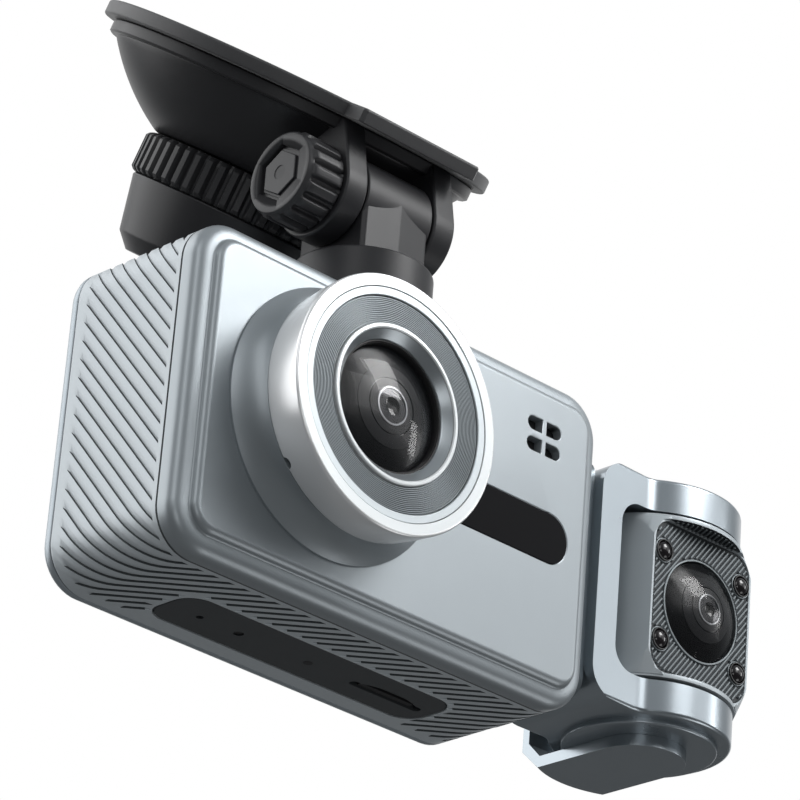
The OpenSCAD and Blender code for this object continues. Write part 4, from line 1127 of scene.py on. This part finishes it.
KEPT = {
    "black": ["hinge_bolt"],
    "steel": ["pull_stud", "stud_stop", "hinge_nut", "swivel_washer", "swivel_screw", "case_screws",
              "chip_shield", "microphone", "tact_switches", "card_socket", "usb_port", "pivot_screws"],
    "brass": ["knob_insert"],
    "screen": ["lcd_panel"],
    "board": ["main_board", "sensor_board", "side_sensor_board"],
    "wrap": ["battery"],
    "matt_black": ["status_light", "speaker", "speaker_mesh", "lens_housing", "lens_holder", "reset_button",
                   "memory_card"],
    "nylon": ["friction_washers"],
}
for look_name, names in KEPT.items():
    for node_name in names:
        data = frame["nodes"][node_name].data
        data.materials.clear()
        data.materials.append(MAT[look_name])

# ---------------------------------------------------------------- camera, light and floor

VIEW = {"azimuth": -42.15, "elevation": -25.07, "roll": 4.65, "lens": 201.64,
        "offset": (-0.41257, -0.453885, -0.276005)}                     # from the middle of the case's front


def make_camera():
    """Long lens at the photograph's viewing angle, from below and from the left. Gives its direction."""
    cam = bpy.data.cameras.new("camera")
    cam.lens = VIEW["lens"]
    cam.sensor_width = 36
    obj = bpy.data.objects.new("camera", cam)
    bpy.context.scene.collection.objects.link(obj)
    a, e, r = (math.radians(VIEW[k]) for k in ("azimuth", "elevation", "roll"))
    look = Vector((-math.sin(a) * math.cos(e), math.cos(a) * math.cos(e), -math.sin(e)))
    right = Vector((math.cos(a), math.sin(a), 0))
    up = right.cross(look)
    right, up = right * math.cos(r) + up * math.sin(r), up * math.cos(r) - right * math.sin(r)
    spot = Vector((0, case_front, case_mid.z)) + Vector(VIEW["offset"])
    obj.matrix_world = Matrix((
        (right.x, up.x, -look.x, spot.x),
        (right.y, up.y, -look.y, spot.y),
        (right.z, up.z, -look.z, spot.z),
        (0, 0, 0, 1)))
    cam.clip_start = 0.01
    cam.clip_end = 20
    bpy.context.scene.camera = obj
    return look


def area_light(name, spot, aim, size, power, colour=(1, 1, 1)):
    data = bpy.data.lights.new(name, "AREA")
    data.shape = "RECTANGLE"
    data.size, data.size_y = size
    data.energy = power
    data.color = colour
    obj = bpy.data.objects.new(name, data)
    bpy.context.scene.collection.objects.link(obj)
    obj.location = spot
    obj.rotation_mode = "QUATERNION"
    obj.rotation_quaternion = (Vector(aim) - Vector(spot)).to_track_quat("-Z", "Y")
    return obj


def maths(nodes, links, operation, a, b):
    node = add(nodes, "ShaderNodeMath", operation=operation)
    links.new(a, node.inputs[0])
    links.new(b, node.inputs[1])
    return node.outputs["Value"]


def make_world(look):
    """White behind the object, for the eye and for mirrors, and soft grey light, brighter above."""
    world = bpy.data.worlds.new("studio")
    bpy.context.scene.world = world
    world.use_nodes = True
    nodes, links = world.node_tree.nodes, world.node_tree.links
    place = add(nodes, "ShaderNodeTexCoord")
    split = add(nodes, "ShaderNodeSeparateXYZ")
    links.new(place.outputs["Generated"], split.inputs["Vector"])
    ramp = add(nodes, "ShaderNodeValToRGB")
    spots = ramp.color_ramp.elements
    spots[0].position, spots[0].color = 0.3, (0.035, 0.038, 0.04, 1)
    spots[1].position, spots[1].color = 0.8, (0.45, 0.47, 0.485, 1)
    middle_spot = spots.new(0.5)
    middle_spot.color = (0.15, 0.16, 0.168, 1)
    half = add(nodes, "ShaderNodeMapRange")
    half.inputs["From Min"].default_value = -1
    links.new(split.outputs["Z"], half.inputs["Value"])
    links.new(half.outputs["Result"], ramp.inputs["Fac"])
    path = add(nodes, "ShaderNodeLightPath")
    mirrored = maths(nodes, links, "MAXIMUM", path.outputs["Is Glossy Ray"],
                     path.outputs["Is Transmission Ray"])
    away = add(nodes, "ShaderNodeVectorMath", operation="DOT_PRODUCT")
    links.new(place.outputs["Generated"], away.inputs[0])
    away.inputs[1].default_value = look
    backdrop = add(nodes, "ShaderNodeMapRange")
    backdrop.inputs["From Min"].default_value = 0.72
    backdrop.inputs["From Max"].default_value = 0.92
    links.new(away.outputs["Value"], backdrop.inputs["Value"])
    behind = maths(nodes, links, "MULTIPLY", mirrored, backdrop.outputs["Result"])
    white = maths(nodes, links, "MAXIMUM", behind, path.outputs["Is Camera Ray"])
    seen = add(nodes, "ShaderNodeMix", data_type="RGBA")
    seen.inputs["B"].default_value = (1, 1, 1, 1)
    links.new(ramp.outputs["Color"], seen.inputs["A"])
    links.new(white, seen.inputs["Factor"])
    links.new(seen.outputs["Result"], nodes["Background"].inputs["Color"])


def floor_look():
    """Pale to the eye, darker as a source of light from below. It keeps the object's shadow."""
    mat, nodes, links, bsdf = shader("floor_pale")
    grain = add(nodes, "ShaderNodeTexNoise", Scale=5.0, Detail=2.0)
    pale = add(nodes, "ShaderNodeMix", data_type="RGBA")
    pale.inputs["A"].default_value = (0.88, 0.88, 0.88, 1)
    pale.inputs["B"].default_value = (0.92, 0.92, 0.92, 1)
    links.new(grain.outputs["Fac"], pale.inputs["Factor"])
    path = add(nodes, "ShaderNodeLightPath")
    tone = add(nodes, "ShaderNodeMix", data_type="RGBA")
    tone.inputs["A"].default_value = (0.2, 0.2, 0.2, 1)
    links.new(path.outputs["Is Camera Ray"], tone.inputs["Factor"])
    links.new(pale.outputs["Result"], tone.inputs["B"])
    links.new(tone.outputs["Result"], bsdf.inputs["Base Color"])
    bsdf.inputs["Roughness"].default_value = 0.7
    bsdf.inputs["Emission Color"].default_value = (0.4, 0.4, 0.4, 1)
    links.new(path.outputs["Is Camera Ray"], bsdf.inputs["Emission Strength"])
    return mat


def make_floor():
    half, height = 12.0, -0.75
    corners = [(x * half, y * half, height) for x, y in ((-1, -1), (1, -1), (1, 1), (-1, 1))]
    mesh = bpy.data.meshes.new("floor")
    mesh.from_pydata(corners, [], [(0, 1, 2, 3)])
    obj = bpy.data.objects.new("floor", mesh)
    bpy.context.scene.collection.objects.link(obj)
    mesh.materials.append(floor_look())


make_world(make_camera())
make_floor()

LIGHTS = (                                      # name, place, aim, size, watts
    ("key", (0.15, -0.27, 0.17), (-0.02, -0.02, -0.06), (0.15, 0.15), 0.75),
    ("front", (0.48, -0.55, 0.25), (0.02, -0.02, -0.06), (0.34, 0.5), 0.5),
    ("window", (0.58, -0.36, 0.07), (0, -0.03, -0.07), (0.1, 0.2), 0.4),
    ("under", (0.43, -0.3, -0.52), (0, -0.03, -0.07), (0.3, 0.3), 0.55),
    ("side", (-0.46, 0.5, 0.26), (0, -0.02, -0.07), (0.9, 0.9), 4.8),
    ("strip_left", (-0.48, -0.34, 0.22), (0.06, 0, -0.07), (0.22, 0.4), 0.6),
    ("strip_right", (0.14, -0.62, 0.22), (0.06, 0, -0.07), (0.3, 0.3), 0.6),
    ("low", (-0.5, -0.65, -0.25), (0.05, -0.03, -0.07), (0.25, 0.25), 0.5),
)
for light in LIGHTS:
    area_light(*light)

bpy.context.scene.view_settings.view_transform = "Standard"
